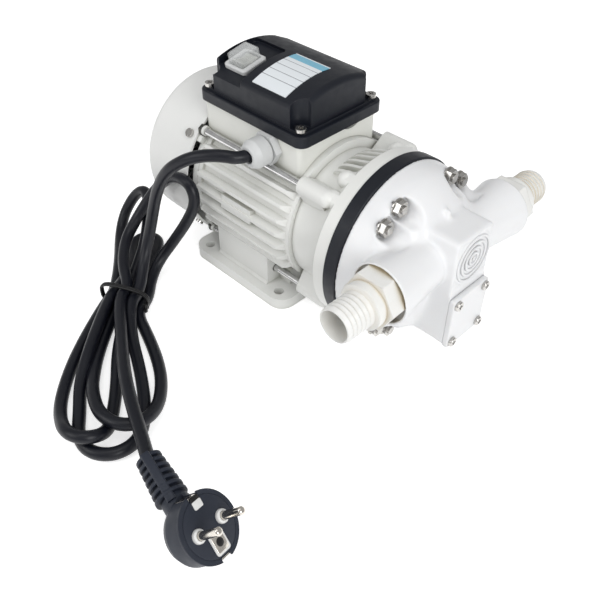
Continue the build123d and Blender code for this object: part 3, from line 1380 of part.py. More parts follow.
pin_places = [(-pin_spacing / 2, 0), (pin_spacing / 2, 0)]
with BuildPart() as plug_faceplate:
    with BuildSketch(plug_front.offset(-1.4)) as plate:
        Circle(plug_face_radius - 2.65)
        with Locations((0, 8.5)):
            Circle(2.3, mode=Mode.SUBTRACT)
    extrude(plate.sketch, amount=1.3)
    with BuildSketch(plug_front.offset(-1.4)) as sleeves:
        with Locations(*pin_places):
            Circle(pin_radius + 0.9)
    extrude(sleeves.sketch, amount=1.4 + 2.2)
    with BuildSketch(plug_front.offset(-1.4)) as pin_holes:
        with Locations(*pin_places):
            Circle(pin_radius + running_gap)
    extrude(pin_holes.sketch, amount=20, mode=Mode.SUBTRACT)
    for side in (1, -1):
        with BuildSketch(plug_front) as plate_notch:
            with Locations((0, side * (plug_face_radius - 0.4))):
                Rectangle(7.6, 7.0)
        extrude(plate_notch.sketch, amount=-4, mode=Mode.SUBTRACT)
plug_faceplate.part.label = "plug_faceplate"

with BuildPart() as plug_pins:
    with BuildSketch(plug_front.offset(-1.3)) as pins:
        with Locations(*pin_places):
            Circle(pin_radius)
    extrude(pins.sketch, amount=pin_length + 1.3)
    fillet(plug_pins.edges().group_by(Axis(plug_front.origin, plug_front.z_dir))[-1], 1.6)
plug_pins.part.label = "plug_pins"

with BuildPart() as plug_earth_contacts:
    for side in (1, -1):
        with BuildSketch(plug_front.offset(-0.8)) as contact:
            with Locations((0, side * (plug_face_radius - 2.0))):
                Rectangle(5.6, 1.1)
        extrude(contact.sketch, amount=-12.1)
plug_earth_contacts.part.label = "plug_earth_contacts"

with BuildPart() as plug_strain_relief:
    relief_direction = (relief_end - relief_start).normalized()
    relief_length = (relief_end - relief_start).length - 0.6
    relief_plane = Plane(origin=relief_start, z_dir=relief_direction)
    with BuildSketch(relief_plane) as relief_small:
        Circle(cord_radius + 0.9)
    with BuildSketch(relief_plane.offset(relief_length)) as relief_big:
        Circle(7.4)
    loft(sections=[relief_small.sketch, relief_big.sketch])
plug_strain_relief.part.label = "plug_strain_relief"

# ---------------------------------------------------------------- write every piece
for name, piece in bearing_parts.items():
    piece.part.label = name
os.makedirs("parts", exist_ok=True)
for name, piece in bearing_parts.items():
    export_step(piece.part, "parts/" + name + ".step")
export_step(stator_frame.part, "parts/stator_frame.step")
export_step(foot_bracket.part, "parts/foot_bracket.step")
export_step(foot_bracket_screws.part, "parts/foot_bracket_screws.step")
export_step(stator_core.part, "parts/stator_core.step")
export_step(stator_windings.part, "parts/stator_windings.step")
export_step(rear_end_shield.part, "parts/rear_end_shield.step")
export_step(fan_cowl.part, "parts/fan_cowl.step")
export_step(cowl_screws.part, "parts/cowl_screws.step")
export_step(motor_shaft.part, "parts/motor_shaft.step")
export_step(rotor_core.part, "parts/rotor_core.step")
export_step(cooling_fan.part, "parts/cooling_fan.step")
export_step(eccentric_hub.part, "parts/eccentric_hub.step")
export_step(wobble_bearing.part, "parts/wobble_bearing.step")
export_step(wobble_plate.part, "parts/wobble_plate.step")
export_step(tie_rods.part, "parts/tie_rods.step")
export_step(tie_rod_nuts.part, "parts/tie_rod_nuts.step")
export_step(terminal_box_base.part, "parts/terminal_box_base.step")
export_step(terminal_box_gasket.part, "parts/terminal_box_gasket.step")
export_step(terminal_box_lid.part, "parts/terminal_box_lid.step")
export_step(lid_screws.part, "parts/lid_screws.step")
export_step(switch_body.part, "parts/switch_body.step")
export_step(switch_bezel.part, "parts/switch_bezel.step")
export_step(rocker.part, "parts/rocker.step")
export_step(switch_boot.part, "parts/switch_boot.step")
export_step(rating_label.part, "parts/rating_label.step")
export_step(run_capacitor.part, "parts/run_capacitor.step")
export_step(terminal_block.part, "parts/terminal_block.step")
export_step(gland_body.part, "parts/gland_body.step")
export_step(gland_nut.part, "parts/gland_nut.step")
export_step(gland_seal.part, "parts/gland_seal.step")
export_step(bell_housing.part, "parts/bell_housing.step")
export_step(bell_bolts.part, "parts/bell_bolts.step")
export_step(diaphragm_ring.part, "parts/diaphragm_ring.step")
export_step(diaphragm.part, "parts/diaphragm.step")
export_step(valve_plate.part, "parts/valve_plate.step")
export_step(inlet_valves.part, "parts/inlet_valves.step")
export_step(outlet_valves.part, "parts/outlet_valves.step")
export_step(pump_head.part, "parts/pump_head.step")
export_step(head_nuts.part, "parts/head_nuts.step")
export_step(inlet_hose_barb.part, "parts/inlet_hose_barb.step")
export_step(outlet_hose_barb.part, "parts/outlet_hose_barb.step")
export_step(bypass_poppet.part, "parts/bypass_poppet.step")
export_step(bypass_spring.part, "parts/bypass_spring.step")
export_step(bypass_cover.part, "parts/bypass_cover.step")
export_step(bypass_cover_screws.part, "parts/bypass_cover_screws.step")
export_step(power_cord.part, "parts/power_cord.step")
export_step(cord_lead.part, "parts/cord_lead.step")
export_step(cord_hank.part, "parts/cord_hank.step")
export_step(hank_tie.part, "parts/hank_tie.step")
export_step(plug_body.part, "parts/plug_body.step")
export_step(plug_faceplate.part, "parts/plug_faceplate.step")
export_step(plug_pins.part, "parts/plug_pins.step")
export_step(plug_earth_contacts.part, "parts/plug_earth_contacts.step")
export_step(plug_strain_relief.part, "parts/plug_strain_relief.step")
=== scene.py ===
import json
import math

import bmesh
import bpy
from mathutils import Matrix, Vector


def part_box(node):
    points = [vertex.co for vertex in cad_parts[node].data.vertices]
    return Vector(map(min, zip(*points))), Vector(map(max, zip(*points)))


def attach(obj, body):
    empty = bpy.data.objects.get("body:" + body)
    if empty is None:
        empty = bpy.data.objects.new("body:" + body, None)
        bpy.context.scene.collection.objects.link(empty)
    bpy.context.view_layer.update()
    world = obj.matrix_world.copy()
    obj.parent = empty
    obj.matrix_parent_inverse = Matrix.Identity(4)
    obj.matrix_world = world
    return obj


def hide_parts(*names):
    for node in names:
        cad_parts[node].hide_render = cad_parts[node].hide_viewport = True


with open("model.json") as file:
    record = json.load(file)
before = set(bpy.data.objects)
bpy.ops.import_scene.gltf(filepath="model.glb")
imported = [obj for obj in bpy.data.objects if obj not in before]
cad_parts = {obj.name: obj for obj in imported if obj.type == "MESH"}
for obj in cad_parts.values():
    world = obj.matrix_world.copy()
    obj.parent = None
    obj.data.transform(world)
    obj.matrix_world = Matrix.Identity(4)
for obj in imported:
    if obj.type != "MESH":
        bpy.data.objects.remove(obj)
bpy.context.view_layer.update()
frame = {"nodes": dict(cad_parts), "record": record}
nodes = frame["nodes"]
scene = bpy.context.scene
MM = 0.001


def mm(*values):
    """A place or a vector given in millimetres, in metres."""
    return Vector(values) * MM


# ---------------------------------------------------------------- camera
back = Vector((0.5260, -0.5200, 0.6730)).normalized()
right = Vector((0.7031, 0.7111, 0.0)).normalized()
up = back.cross(right).normalized()
camera_data = bpy.data.cameras.new("camera")
camera_data.lens = 44.17
camera_data.sensor_width = 36.0
camera_data.clip_start = 0.01
camera = bpy.data.objects.new("camera", camera_data)
scene.collection.objects.link(camera)
camera.matrix_world = Matrix.Translation(mm(344.52, -328.82, 375.58)) @ Matrix(
    (right, up, back)).transposed().to_4x4()
scene.camera = camera

# ---------------------------------------------------------------- materials


class Look:
    """A node material built step by step round one Principled shader."""

    def __init__(self, name, colour, roughness, metallic=0.0):
        self.material = bpy.data.materials.new(name)
        self.material.use_nodes = True
        self.tree = self.material.node_tree
        self.shader = self.tree.nodes["Principled BSDF"]
        self.colour = colour
        self.shader.inputs["Base Color"].default_value = (*colour, 1.0)
        self.shader.inputs["Roughness"].default_value = roughness
        self.shader.inputs["Metallic"].default_value = metallic
        self.coordinates = self.tree.nodes.new("ShaderNodeTexCoord")
        self.normal = None

    def add(self, kind, **values):
        node = self.tree.nodes.new(kind)
        for key, value in values.items():
            setattr(node, key, value)
        return node

    def link(self, start, end):
        self.tree.links.new(start, end)

    def noise(self, scale, detail=4.0, stretch=None):
        """Fine noise over the object's own coordinates, drawn out by stretch."""
        node = self.add("ShaderNodeTexNoise")
        node.inputs["Scale"].default_value = scale
        node.inputs["Detail"].default_value = detail
        source = self.coordinates.outputs["Object"]
        if stretch:
            mapping = self.add("ShaderNodeMapping")
            mapping.inputs["Scale"].default_value = stretch
            self.link(source, mapping.inputs["Vector"])
            source = mapping.outputs["Vector"]
        self.link(source, node.inputs["Vector"])
        return node.outputs["Fac"]

    def ramp(self, value, low, high, start, end):
        """Maps value from low..high to start..end."""
        node = self.add("ShaderNodeMapRange")
        node.inputs["From Min"].default_value = low
        node.inputs["From Max"].default_value = high
        node.inputs["To Min"].default_value = start
        node.inputs["To Max"].default_value = end
        self.link(value, node.inputs["Value"])
        return node.outputs["Result"]

    def mottle(self, other, scale, low=0.35, high=0.7):
        """Varies the colour softly towards another one."""
        mix = self.add("ShaderNodeMix", data_type="RGBA")
        mix.inputs["A"].default_value = (*self.colour, 1.0)
        mix.inputs["B"].default_value = (*other, 1.0)
        self.link(self.ramp(self.noise(scale), low, high, 0.0, 1.0), mix.inputs["Factor"])
        self.link(mix.outputs["Result"], self.shader.inputs["Base Color"])
        return self

    def painted_crease_shade(self, other, distance):
        """Paints shade into inside corners: darkens the colour a little by ambient occlusion."""
        occlusion = self.add("ShaderNodeAmbientOcclusion")
        occlusion.inputs["Distance"].default_value = distance
        occlusion.samples = 6
        mix = self.add("ShaderNodeMix", data_type="RGBA")
        current = self.shader.inputs["Base Color"]
        if current.is_linked:
            self.link(current.links[0].from_socket, mix.inputs["B"])
        else:
            mix.inputs["B"].default_value = (*self.colour, 1.0)
        mix.inputs["A"].default_value = (*other, 1.0)
        self.link(self.ramp(occlusion.outputs["AO"], 0.1, 0.8, 0.0, 1.0), mix.inputs["Factor"])
        self.link(mix.outputs["Result"], current)
        return self

    def rough(self, scale, low, high, stretch=None):
        """Varies the roughness between low and high."""
        self.link(self.ramp(self.noise(scale, stretch=stretch), 0.3, 0.7, low, high),
                  self.shader.inputs["Roughness"])
        return self

    def rounded(self, radius):
        """Softens sharp edges in the shading."""
        bevel = self.add("ShaderNodeBevel")
        bevel.samples = 6
        bevel.inputs["Radius"].default_value = radius
        self.normal = bevel.outputs["Normal"]
        self.link(self.normal, self.shader.inputs["Normal"])
        return self

    def bump(self, scale, strength, distance=0.0001, detail=3.0, stretch=None):
        """Adds a fine grain to the shading."""
        bump = self.add("ShaderNodeBump")
        bump.inputs["Strength"].default_value = strength
        bump.inputs["Distance"].default_value = distance
        self.link(self.noise(scale, detail, stretch), bump.inputs["Height"])
        if self.normal:
            self.link(self.normal, bump.inputs["Normal"])
        self.normal = bump.outputs["Normal"]
        self.link(self.normal, self.shader.inputs["Normal"])
        return self

    def set(self, **values):
        """Sets inputs of the shader by their names."""
        for key, value in values.items():
            self.shader.inputs[key.replace("_", " ")].default_value = value
        return self


def enamel(name, colour, shade, edge=0.0005):
    """Sprayed enamel on a casting: slight orange peel, soft edges, painted warm shade in creases."""
    look = Look(name, colour, 0.38)
    # painted shade: creases darken towards the shade colour by ambient occlusion over 6 mm
    look.mottle(tuple(c * 0.97 for c in colour), 30.0).painted_crease_shade(shade, 0.006)
    look.rough(120.0, 0.32, 0.46).rounded(edge).bump(900.0, 0.16, 0.00006)
    look.set(Coat_Weight=0.15, Coat_Roughness=0.25)
    return look.material


def moulding(name, colour, roughness, grain, strength, edge=0.0004):
    """Moulded plastic with a fine spark-eroded grain."""
    look = Look(name, colour, roughness)
    look.mottle(tuple(c * 0.9 for c in colour), 45.0)
    look.rough(160.0, roughness * 0.88, min(1.0, roughness * 1.15))
    look.rounded(edge).bump(grain, strength, 0.00008)
    look.set(Specular_IOR_Level=0.35)
    return look.material


def metal(name, colour, roughness, stretch=(1.0, 1.0, 1.0), scratch=0.12, edge=0.0002):
    """Bare metal with small scratches."""
    look = Look(name, colour, roughness, 1.0)
    look.mottle(tuple(c * 0.82 for c in colour), 220.0)
    look.rough(500.0, roughness * 0.7, min(1.0, roughness * 1.5), stretch)
    look.rounded(edge).bump(1400.0, scratch, 0.00004, stretch=stretch)
    return look.material


def soft_plastic(name, colour, roughness, tint, crease, crease_reach=0.004):
    """White polymer that lets a little light in."""
    look = Look(name, colour, roughness)
    look.mottle(tuple(c * t for c, t in zip(colour, tint)), 25.0)
    look.rough(70.0, roughness * 0.95, roughness * 1.05)
    # painted shade: creases darken towards the crease colour by ambient occlusion over crease_reach
    look.painted_crease_shade(crease, crease_reach)
    look.rounded(0.0012).bump(700.0, 0.05, 0.00005)
    look.set(Subsurface_Weight=0.15, Subsurface_Scale=0.003)
    look.shader.inputs["Subsurface Radius"].default_value = (1.0, 0.9, 0.8)
    return look.material


LOOKS = {
    # the second colour of each enamel is the painted shade for its creases
    "motor_paint": enamel("motor_paint", (0.80, 0.805, 0.78), (0.50, 0.50, 0.45)),
    "cowl_paint": enamel("cowl_paint", (0.83, 0.835, 0.82), (0.60, 0.60, 0.57)),
    "box_paint": enamel("box_paint", (0.81, 0.815, 0.77), (0.55, 0.55, 0.49), 0.0008),
    # painted shade: grey darkening by ambient occlusion in the nut pockets and other creases of the
    # head
    "head_plastic": soft_plastic("head_plastic", (0.84, 0.845, 0.855), 0.32,
                                 (0.985, 0.985, 0.985), (0.42, 0.42, 0.43)),
    # painted shade: a tan darkening by ambient occlusion reaching 14 mm into the bores of the barbs
    "barb_plastic": soft_plastic("barb_plastic", (0.85, 0.85, 0.83), 0.34, (0.985, 0.98, 0.97),
                                 (0.52, 0.40, 0.20), crease_reach=0.014),
    "ring_black": moulding("ring_black", (0.006, 0.008, 0.014), 0.45, 1100.0, 0.25),
    "lid_black": moulding("lid_black", (0.005, 0.007, 0.013), 0.45, 1500.0, 0.35, 0.0008),
    "rubber_black": moulding("rubber_black", (0.018, 0.018, 0.02), 0.7, 800.0, 0.4),
    "switch_black": moulding("switch_black", (0.012, 0.013, 0.016), 0.33, 1200.0, 0.15),
    "rocker_grey": moulding("rocker_grey", (0.50, 0.51, 0.48), 0.30, 900.0, 0.1),
    "gland_grey": moulding("gland_grey", (0.66, 0.67, 0.67), 0.45, 900.0, 0.2, 0.0006),
    "stainless": metal("stainless", (0.60, 0.585, 0.56), 0.2, scratch=0.03),
    "chrome_steel": metal("chrome_steel", (0.72, 0.72, 0.72), 0.14, (0.2, 8.0, 8.0)),
    "dark_steel": metal("dark_steel", (0.11, 0.11, 0.10), 0.42),
    "bearing_steel": metal("bearing_steel", (0.62, 0.62, 0.63), 0.18),
    "core_steel": metal("core_steel", (0.18, 0.18, 0.19), 0.5),
    "copper_wire": metal("copper_wire", (0.70, 0.32, 0.13), 0.3),
    "rotor_metal": metal("rotor_metal", (0.55, 0.56, 0.58), 0.35),
    "internal_metal": metal("internal_metal", (0.58, 0.59, 0.61), 0.32),
    "fan_plastic": moulding("fan_plastic", (0.02, 0.02, 0.022), 0.5, 800.0, 0.2),
    "diaphragm_rubber": moulding("diaphragm_rubber", (0.02, 0.02, 0.022), 0.65, 900.0, 0.4),
    "valve_rubber": moulding("valve_rubber", (0.26, 0.24, 0.19), 0.6, 900.0, 0.2),
    "plate_plastic": moulding("plate_plastic", (0.45, 0.45, 0.45), 0.45, 900.0, 0.2),
    "capacitor_white": moulding("capacitor_white", (0.8, 0.8, 0.79), 0.3, 600.0, 0.1),
    "terminal_plastic": moulding("terminal_plastic", (0.68, 0.66, 0.6), 0.4, 700.0, 0.1),
    "cord_pvc": moulding("cord_pvc", (0.005, 0.006, 0.011), 0.38, 900.0, 0.3),
    "tie_black": moulding("tie_black", (0.008, 0.008, 0.009), 0.4, 900.0, 0.2),
    "plug_grey": moulding("plug_grey", (0.019, 0.024, 0.038), 0.5, 1300.0, 0.45),
    "plug_white": moulding("plug_white", (0.8, 0.8, 0.79), 0.35, 600.0, 0.1),
    "nickel": metal("nickel", (0.74, 0.70, 0.64), 0.16, scratch=0.03),
}


def clear_cover():
    """Clear soft boot: see-through from above, milky round its sides."""
    look = Look("boot_clear", (0.88, 0.90, 0.90), 0.15)
    look.rough(60.0, 0.1, 0.22)
    output = look.tree.nodes["Material Output"]
    clear = look.add("ShaderNodeBsdfTransparent")
    facing = look.add("ShaderNodeLayerWeight")
    facing.inputs["Blend"].default_value = 0.3
    mix = look.add("ShaderNodeMixShader")
    look.link(look.ramp(facing.outputs["Facing"], 0.15, 0.9, 0.12, 0.75), mix.inputs["Fac"])
    look.link(clear.outputs["BSDF"], mix.inputs[1])
    look.link(look.shader.outputs["BSDF"], mix.inputs[2])
    look.link(mix.outputs["Shader"], output.inputs["Surface"])
    return look.material


def printed_plate():
    """Blank rating plate: white with a pale blue band along its far edge and thin grey rules."""
    look = Look("label_plate", (0.80, 0.84, 0.87), 0.32)
    low, high = (Vector(corner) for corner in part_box("rating_label"))
    split = look.add("ShaderNodeSeparateXYZ")
    look.link(look.coordinates.outputs["Object"], split.inputs["Vector"])
    along = look.ramp(split.outputs["Y"], low.y, high.y, 0.0, 1.0)

    def band(start, end):
        """Mask of the strip between two shares of the plate's length."""
        inside = look.add("ShaderNodeMath", operation="COMPARE")
        look.link(along, inside.inputs[0])
        inside.inputs[1].default_value = (start + end) / 2
        inside.inputs[2].default_value = (end - start) / 2
        return inside.outputs["Value"]

    layers = [(band(0.80, 0.97), (0.20, 0.50, 0.66))]
    half_rule = 0.007
    layers += [(band(row - half_rule, row + half_rule), (0.30, 0.31, 0.34))
               for row in (0.22, 0.38, 0.54, 0.70)]
    colour = None
    for mask, tint in layers:
        mix = look.add("ShaderNodeMix", data_type="RGBA")
        look.link(mask, mix.inputs["Factor"])
        if colour:
            look.link(colour, mix.inputs["A"])
        else:
            mix.inputs["A"].default_value = (*look.colour, 1.0)
        mix.inputs["B"].default_value = (*tint, 1.0)
        colour = mix.outputs["Result"]
    look.link(colour, look.shader.inputs["Base Color"])
    look.rounded(0.0002).bump(500.0, 0.05, 0.00003)
    return look.material


LOOKS["boot_clear"] = clear_cover()
LOOKS["label_plate"] = printed_plate()
slot_of = {part["node"]: part["material_slot"] for part in frame["record"]["subparts"]}
seen_as = {"plug_faceplate": "plug_grey", "cowl_screws": "stainless",
           "switch_bezel": "gland_grey"}
for name, node in nodes.items():
    node.data.materials.clear()
    node.data.materials.append(LOOKS[seen_as.get(name, slot_of[name])])


def dress(piece, slot, body="housing"):
    """Gives a new piece the look of a material slot, and its body."""
    piece.data.materials.append(LOOKS[slot])
    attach(piece, body)
    return piece


# ---------------------------------------------------------------- softly blended head casting
VOXEL = 0.7 * MM
SMOOTHING_PASSES = 26
NOSE_FRONT = 166
NOSE_RELIEF_HEIGHT = 85
RELIEF_REACH = 17.6
DOME_FRONT = 124
COVER_TOP = 63


def blends(place):
    """Whether a point of the head casting lies where its outside flows together."""
    x, y, z = place / MM
    on_relief = (x > NOSE_FRONT - 1.6 and abs(y) < RELIEF_REACH
                 and abs(z - NOSE_RELIEF_HEIGHT) < RELIEF_REACH)
    by_cover = x > NOSE_FRONT - 6 and z < COVER_TOP
    in_bypass = abs(y) < 12 and 30 < z < 54
    return x > DOME_FRONT and abs(y) < 50 and not (on_relief or by_cover or in_bypass)


def soft_casting():
    """Copy of the head with the sharp junctions of nose, ports and dome run together."""
    copy = bpy.data.objects.new("head_copy", nodes["pump_head"].data.copy())
    scene.collection.objects.link(copy)
    voxels = copy.modifiers.new("voxels", "REMESH")
    voxels.mode = "VOXEL"
    voxels.voxel_size = VOXEL
    ready = copy.evaluated_get(bpy.context.evaluated_depsgraph_get())
    data = bpy.data.meshes.new_from_object(ready)
    bpy.data.objects.remove(copy)
    mesh = bmesh.new()
    mesh.from_mesh(data)
    soft = [vertex for vertex in mesh.verts if blends(vertex.co)]
    for _ in range(SMOOTHING_PASSES):
        bmesh.ops.smooth_vert(mesh, verts=soft, factor=0.6, use_axis_x=True, use_axis_y=True,
                              use_axis_z=True)
    mesh.to_mesh(data)
    mesh.free()
    data.materials.clear()
    data.shade_smooth()
    piece = bpy.data.objects.new("soft_head", data)
    scene.collection.objects.link(piece)
    dress(piece, "head_plastic")
    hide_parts("pump_head")


soft_casting()

# ---------------------------------------------------------------- mains cord, one curve
CORD_DIAMETER = 8.6 * MM
LEAD_END = (105, -214.5, 26)
RELIEF_END = (134, -219.6, 21.3)
tie_centre = Vector((-34.4, -136.6))
tie_along = Vector((0.42, -0.907))
tie_across = Vector((0.907, 0.42))


def through_tie(offset, height, downwards=True):
    """The two route points that lead one strand through the tie."""
    points = []
    for step in (-7.0, 7.0):
        x, y = tie_centre + tie_along * step + tie_across * offset
        points.append((x, y, height))
    return points if downwards else points[::-1]


# heights of the cord's middle in the lower and upper layer of the hank
FLOOR = 4.5
TOP = 12.4
strand = [(21.5, -40, 119.85), (21.5, -62, 119.85), (10.5, -71.5, 122.4), (-4.5, -81.5, 119.5),
          (-21, -89, 108), (-32, -91.5, 94), (-41, -92.5, 77), (-47, -94, 58), (-49, -99.5, 38),
          (-45, -110, 22)]
lower_right = [(1, -156, 8), (29, -169, 4.5), (52, -182, 4.5), (67.3, -193.2, 4.5),
               (76.9, -205.7, 4.5), (74.8, -221.3, 4.5), (62.3, -230.9, 4.5), (46.7, -229, 4.5),
               (33, -219, 4.5), (11, -204.5, 6), (-7, -184, 12)]
lower_left = [(2, -169, 4.5), (29, -188, 4.5), (47, -203, 4.5), (57, -213, 5.5),
              (62, -223, 12.8), (57, -231.5, 14.6), (46, -235, 13.5), (31, -231, 8), (15, -222, 4.5),
              (-2, -206, 4.5), (-21, -183, 4.5)]
lower_middle = [(-7, -178, 4.5), (12, -194.5, 6.5), (30, -206, 12), (50, -213, 14.2),
                (66, -209, 14.2), (73.5, -197, 14), (65, -180, 7), (48, -165, 4.5),
                (30, -155, 4.5), (7, -146, 4.5)]
loop_left = [(-74, -115, 6), (-105, -93, 7), (-112.5, -81.5, 18), (-109.5, -73, 31),
             (-103, -68.5, 39.5), (-94, -68, 42.5), (-85, -74, 36), (-72, -87, 24),
             (-61, -102, 15), (-50, -119, 9)]
loop_middle = [(-56, -119, 9), (-72, -103, 5), (-86, -94, 4.5), (-93, -84, 4.5),
               (-88, -75, 4.5), (-79, -73, 4.5), (-70, -81, 4.5), (-59, -100, 4.5)]
loop_right = [(-31, -118, 4.5), (-42, -108, 5), (-50, -94, 11), (-45, -80, 27), (-36, -70.5, 47),
              (-29, -67, 65), (-36, -66.5, 78), (-55, -66.5, 75), (-73, -69.5, 59),
              (-78.5, -78, 46), (-81, -89, 33), (-77, -104, 23), (-57, -121, 21)]
lead = [(5, -165.5, 17), (38, -185, 21.5), (64, -197.2, 22.8), (86, -206.2, 22.8), LEAD_END]
route = strand
route += through_tie(8.8, TOP) + lower_right + through_tie(-8.8, TOP, False)
route += loop_middle + through_tie(4.4, FLOOR) + lower_left + through_tie(-14.0, FLOOR, False)
route += loop_left + through_tie(-4.4, FLOOR) + lower_middle + through_tie(13.2, FLOOR, False)
route += loop_right + through_tie(0.0, TOP + 2.2) + lead
curve = bpy.data.curves.new("mains_cord", "CURVE")
curve.dimensions = "3D"
curve.bevel_depth = CORD_DIAMETER / 2
curve.bevel_resolution = 6
curve.resolution_u = 8
curve.use_fill_caps = True
spline = curve.splines.new("NURBS")
spline.points.add(len(route) - 1)
for point, place in zip(spline.points, route):
    point.co = (*(Vector(place) * MM), 1.0)
spline.order_u = 3
spline.use_endpoint_u = True
cord = bpy.data.objects.new("mains_cord", curve)
scene.collection.objects.link(cord)
dress(cord, "cord_pvc")
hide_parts("power_cord", "cord_hank", "cord_lead")

# ---------------------------------------------------------------- details the CAD leaves plain


def new_piece(name, mesh, slot):
    """Links a bmesh as a smooth-shaded piece."""
    bmesh.ops.recalc_face_normals(mesh, faces=mesh.faces)
    data = bpy.data.meshes.new(name)
    mesh.to_mesh(data)
    mesh.free()
    piece = bpy.data.objects.new(name, data)
    scene.collection.objects.link(piece)
    data.shade_smooth()
    edges = piece.modifiers.new("edges", "BEVEL")
    edges.width = 0.2 * MM
    edges.segments = 2
    edges.limit_method = "ANGLE"
    return dress(piece, slot)


def axes_at(origin, normal, across):
    """Matrix of a plane: x across, z along the normal, origin in metres."""
    z = Vector(normal).normalized()
    x = (Vector(across) - z * Vector(across).dot(z)).normalized()
    y = z.cross(x)
    return Matrix.Translation(origin) @ Matrix((x, y, z)).transposed().to_4x4()


def lathe(mesh, matrix, profile, steps=40):
    """Adds a closed profile of (radius, height) points in millimetres, turned about z."""
    rings = []
    for step in range(steps):
        angle = math.tau * step / steps
        ring = [mesh.verts.new(matrix @ (Vector((r * math.cos(angle), r * math.sin(angle), h)) * MM))
                for r, h in profile]
        rings.append(ring)
    for one, two in zip(rings, rings[1:] + rings[:1]):
        for low in range(len(profile)):
            high = (low + 1) % len(profile)
            mesh.faces.new((one[low], two[low], two[high], one[high]))


def prism(mesh, matrix, outline, low, high):
    """Adds a straight prism over an outline of (x, y) points in millimetres."""
    bottom = [mesh.verts.new(matrix @ (Vector((x, y, low)) * MM)) for x, y in outline]
    top = [mesh.verts.new(matrix @ (Vector((x, y, high)) * MM)) for x, y in outline]
    mesh.faces.new(bottom[::-1])
    mesh.faces.new(top)
    for here in range(len(outline)):
        after = (here + 1) % len(outline)
        mesh.faces.new((bottom[here], bottom[after], top[after], top[here]))


def rounded_square(width, height, radius, centre=(0.0, 0.0)):
    """Outline of a rectangle with round corners."""
    points = []
    for turn in range(4):
        corner_x = (width / 2 - radius) * (1 if turn in (0, 3) else -1)
        corner_y = (height / 2 - radius) * (1 if turn in (0, 1) else -1)
        for step in range(5):
            angle = math.radians(90 * turn + 22.5 * step)
            points.append((centre[0] + corner_x + radius * math.cos(angle),
                           centre[1] + corner_y + radius * math.sin(angle)))
    return points


def disc_outline(radius, centre=(0.0, 0.0), steps=48):
    """Outline of a circle."""
    return [(centre[0] + radius * math.cos(math.tau * k / steps),
             centre[1] + radius * math.sin(math.tau * k / steps)) for k in range(steps)]


def nose_rings():
    """Raised rings round a small boss on the front of the nose."""
    face = axes_at(mm(NOSE_FRONT, 0, NOSE_RELIEF_HEIGHT), (1, 0, 0), (0, 1, 0))
    foot, top, width, draft = -0.8, 0.9, 2.0, 0.3
    mesh = bmesh.new()
    for outer in (17.0, 13.0, 9.0, 5.0):
        lathe(mesh, face, [(outer - width, foot), (outer, foot), (outer - draft, top),
                           (outer - width + draft, top)], 72)
    prism(mesh, face, disc_outline(1.4), foot, top)
    return mesh


def sleeve_ribs():
    """Rings that widen towards the plug, and the strap that runs over them."""
    start, end = mm(*LEAD_END), mm(*RELIEF_END)
    axis = axes_at(start, end - start, (0, 0, 1))
    length = (end - start).length / MM
    count, thickness, inner = 7, 2.0, 4.6
    mesh = bmesh.new()
    for rib in range(count):
        along = 1.2 + rib * (length - 3.4) / (count - 1)
        outer = 7.8 + 2.0 * rib / (count - 1)
        lathe(mesh, axis, [(inner, along), (outer, along), (outer, along + thickness),
                           (inner, along + thickness)])
    towards_viewer = axis.to_3x3().inverted() @ back
    strap_turn = Matrix.Rotation(math.atan2(towards_viewer.y, towards_viewer.x) - 0.25, 4, "Z")
    strap = rounded_square(6.0, 5.4, 1.0, (6.4, 0.0))
    prism(mesh, axis @ strap_turn, strap, 1.0, length + 4.0)
    return mesh


# the plug's face: x across the pins, y away from the earth plate, z out of the face
plug_face = axes_at(mm(163.5, -217.0, 25.0), (0.64, 0.32, 0.70), (-0.18, 0.948, -0.264))
PIN_OFFSET = 9.5
EARTH_CENTRE = (0.0, -9.6)


def on_plug_face(*prisms):
    """One mesh of straight pieces on the plug's face, each (outline, low, high)."""
    mesh = bmesh.new()
    for outline, low, high in prisms:
        prism(mesh, plug_face, outline, low, high)
    return mesh


def insulating_collars():
    """A light collar at the root of each pin."""
    mesh = bmesh.new()
    for side in (1, -1):
        lathe(mesh, plug_face @ Matrix.Translation(mm(side * PIN_OFFSET, 0, 0)),
              [(2.5, 0.1), (4.1, 0.1), (3.9, 1.9), (3.3, 2.5), (2.5, 2.5)])
    return mesh


new_piece("relief_rings", nose_rings(), "head_plastic")
new_piece("relief_ribs", sleeve_ribs(), "plug_grey")
new_piece("plug_face_skin", on_plug_face((disc_outline(17.0), -0.6, 0.25)), "plug_grey")
new_piece("pin_collars", insulating_collars(), "plug_white")
new_piece("earth_frame", on_plug_face(
    (rounded_square(10.6, 12.4, 1.6, EARTH_CENTRE), 0.1, 0.9),
    (rounded_square(6.4, 4.6, 0.8, (0.0, 13.6)), 0.1, 0.9)), "plug_white")
new_piece("earth_plate", on_plug_face(
    (rounded_square(8.4, 10.2, 1.2, EARTH_CENTRE), 0.7, 1.15)), "nickel")
# painted shade: a black disc stands in for the dark inside of the earth hole, with a black slot
# further along the face
new_piece("painted_earth_hole_shade", on_plug_face(
    (disc_outline(2.5, EARTH_CENTRE), 1.0, 1.35),
    (rounded_square(6.0, 3.0, 0.5, (0.0, 17.0)), 0.1, 0.6)), "tie_black")


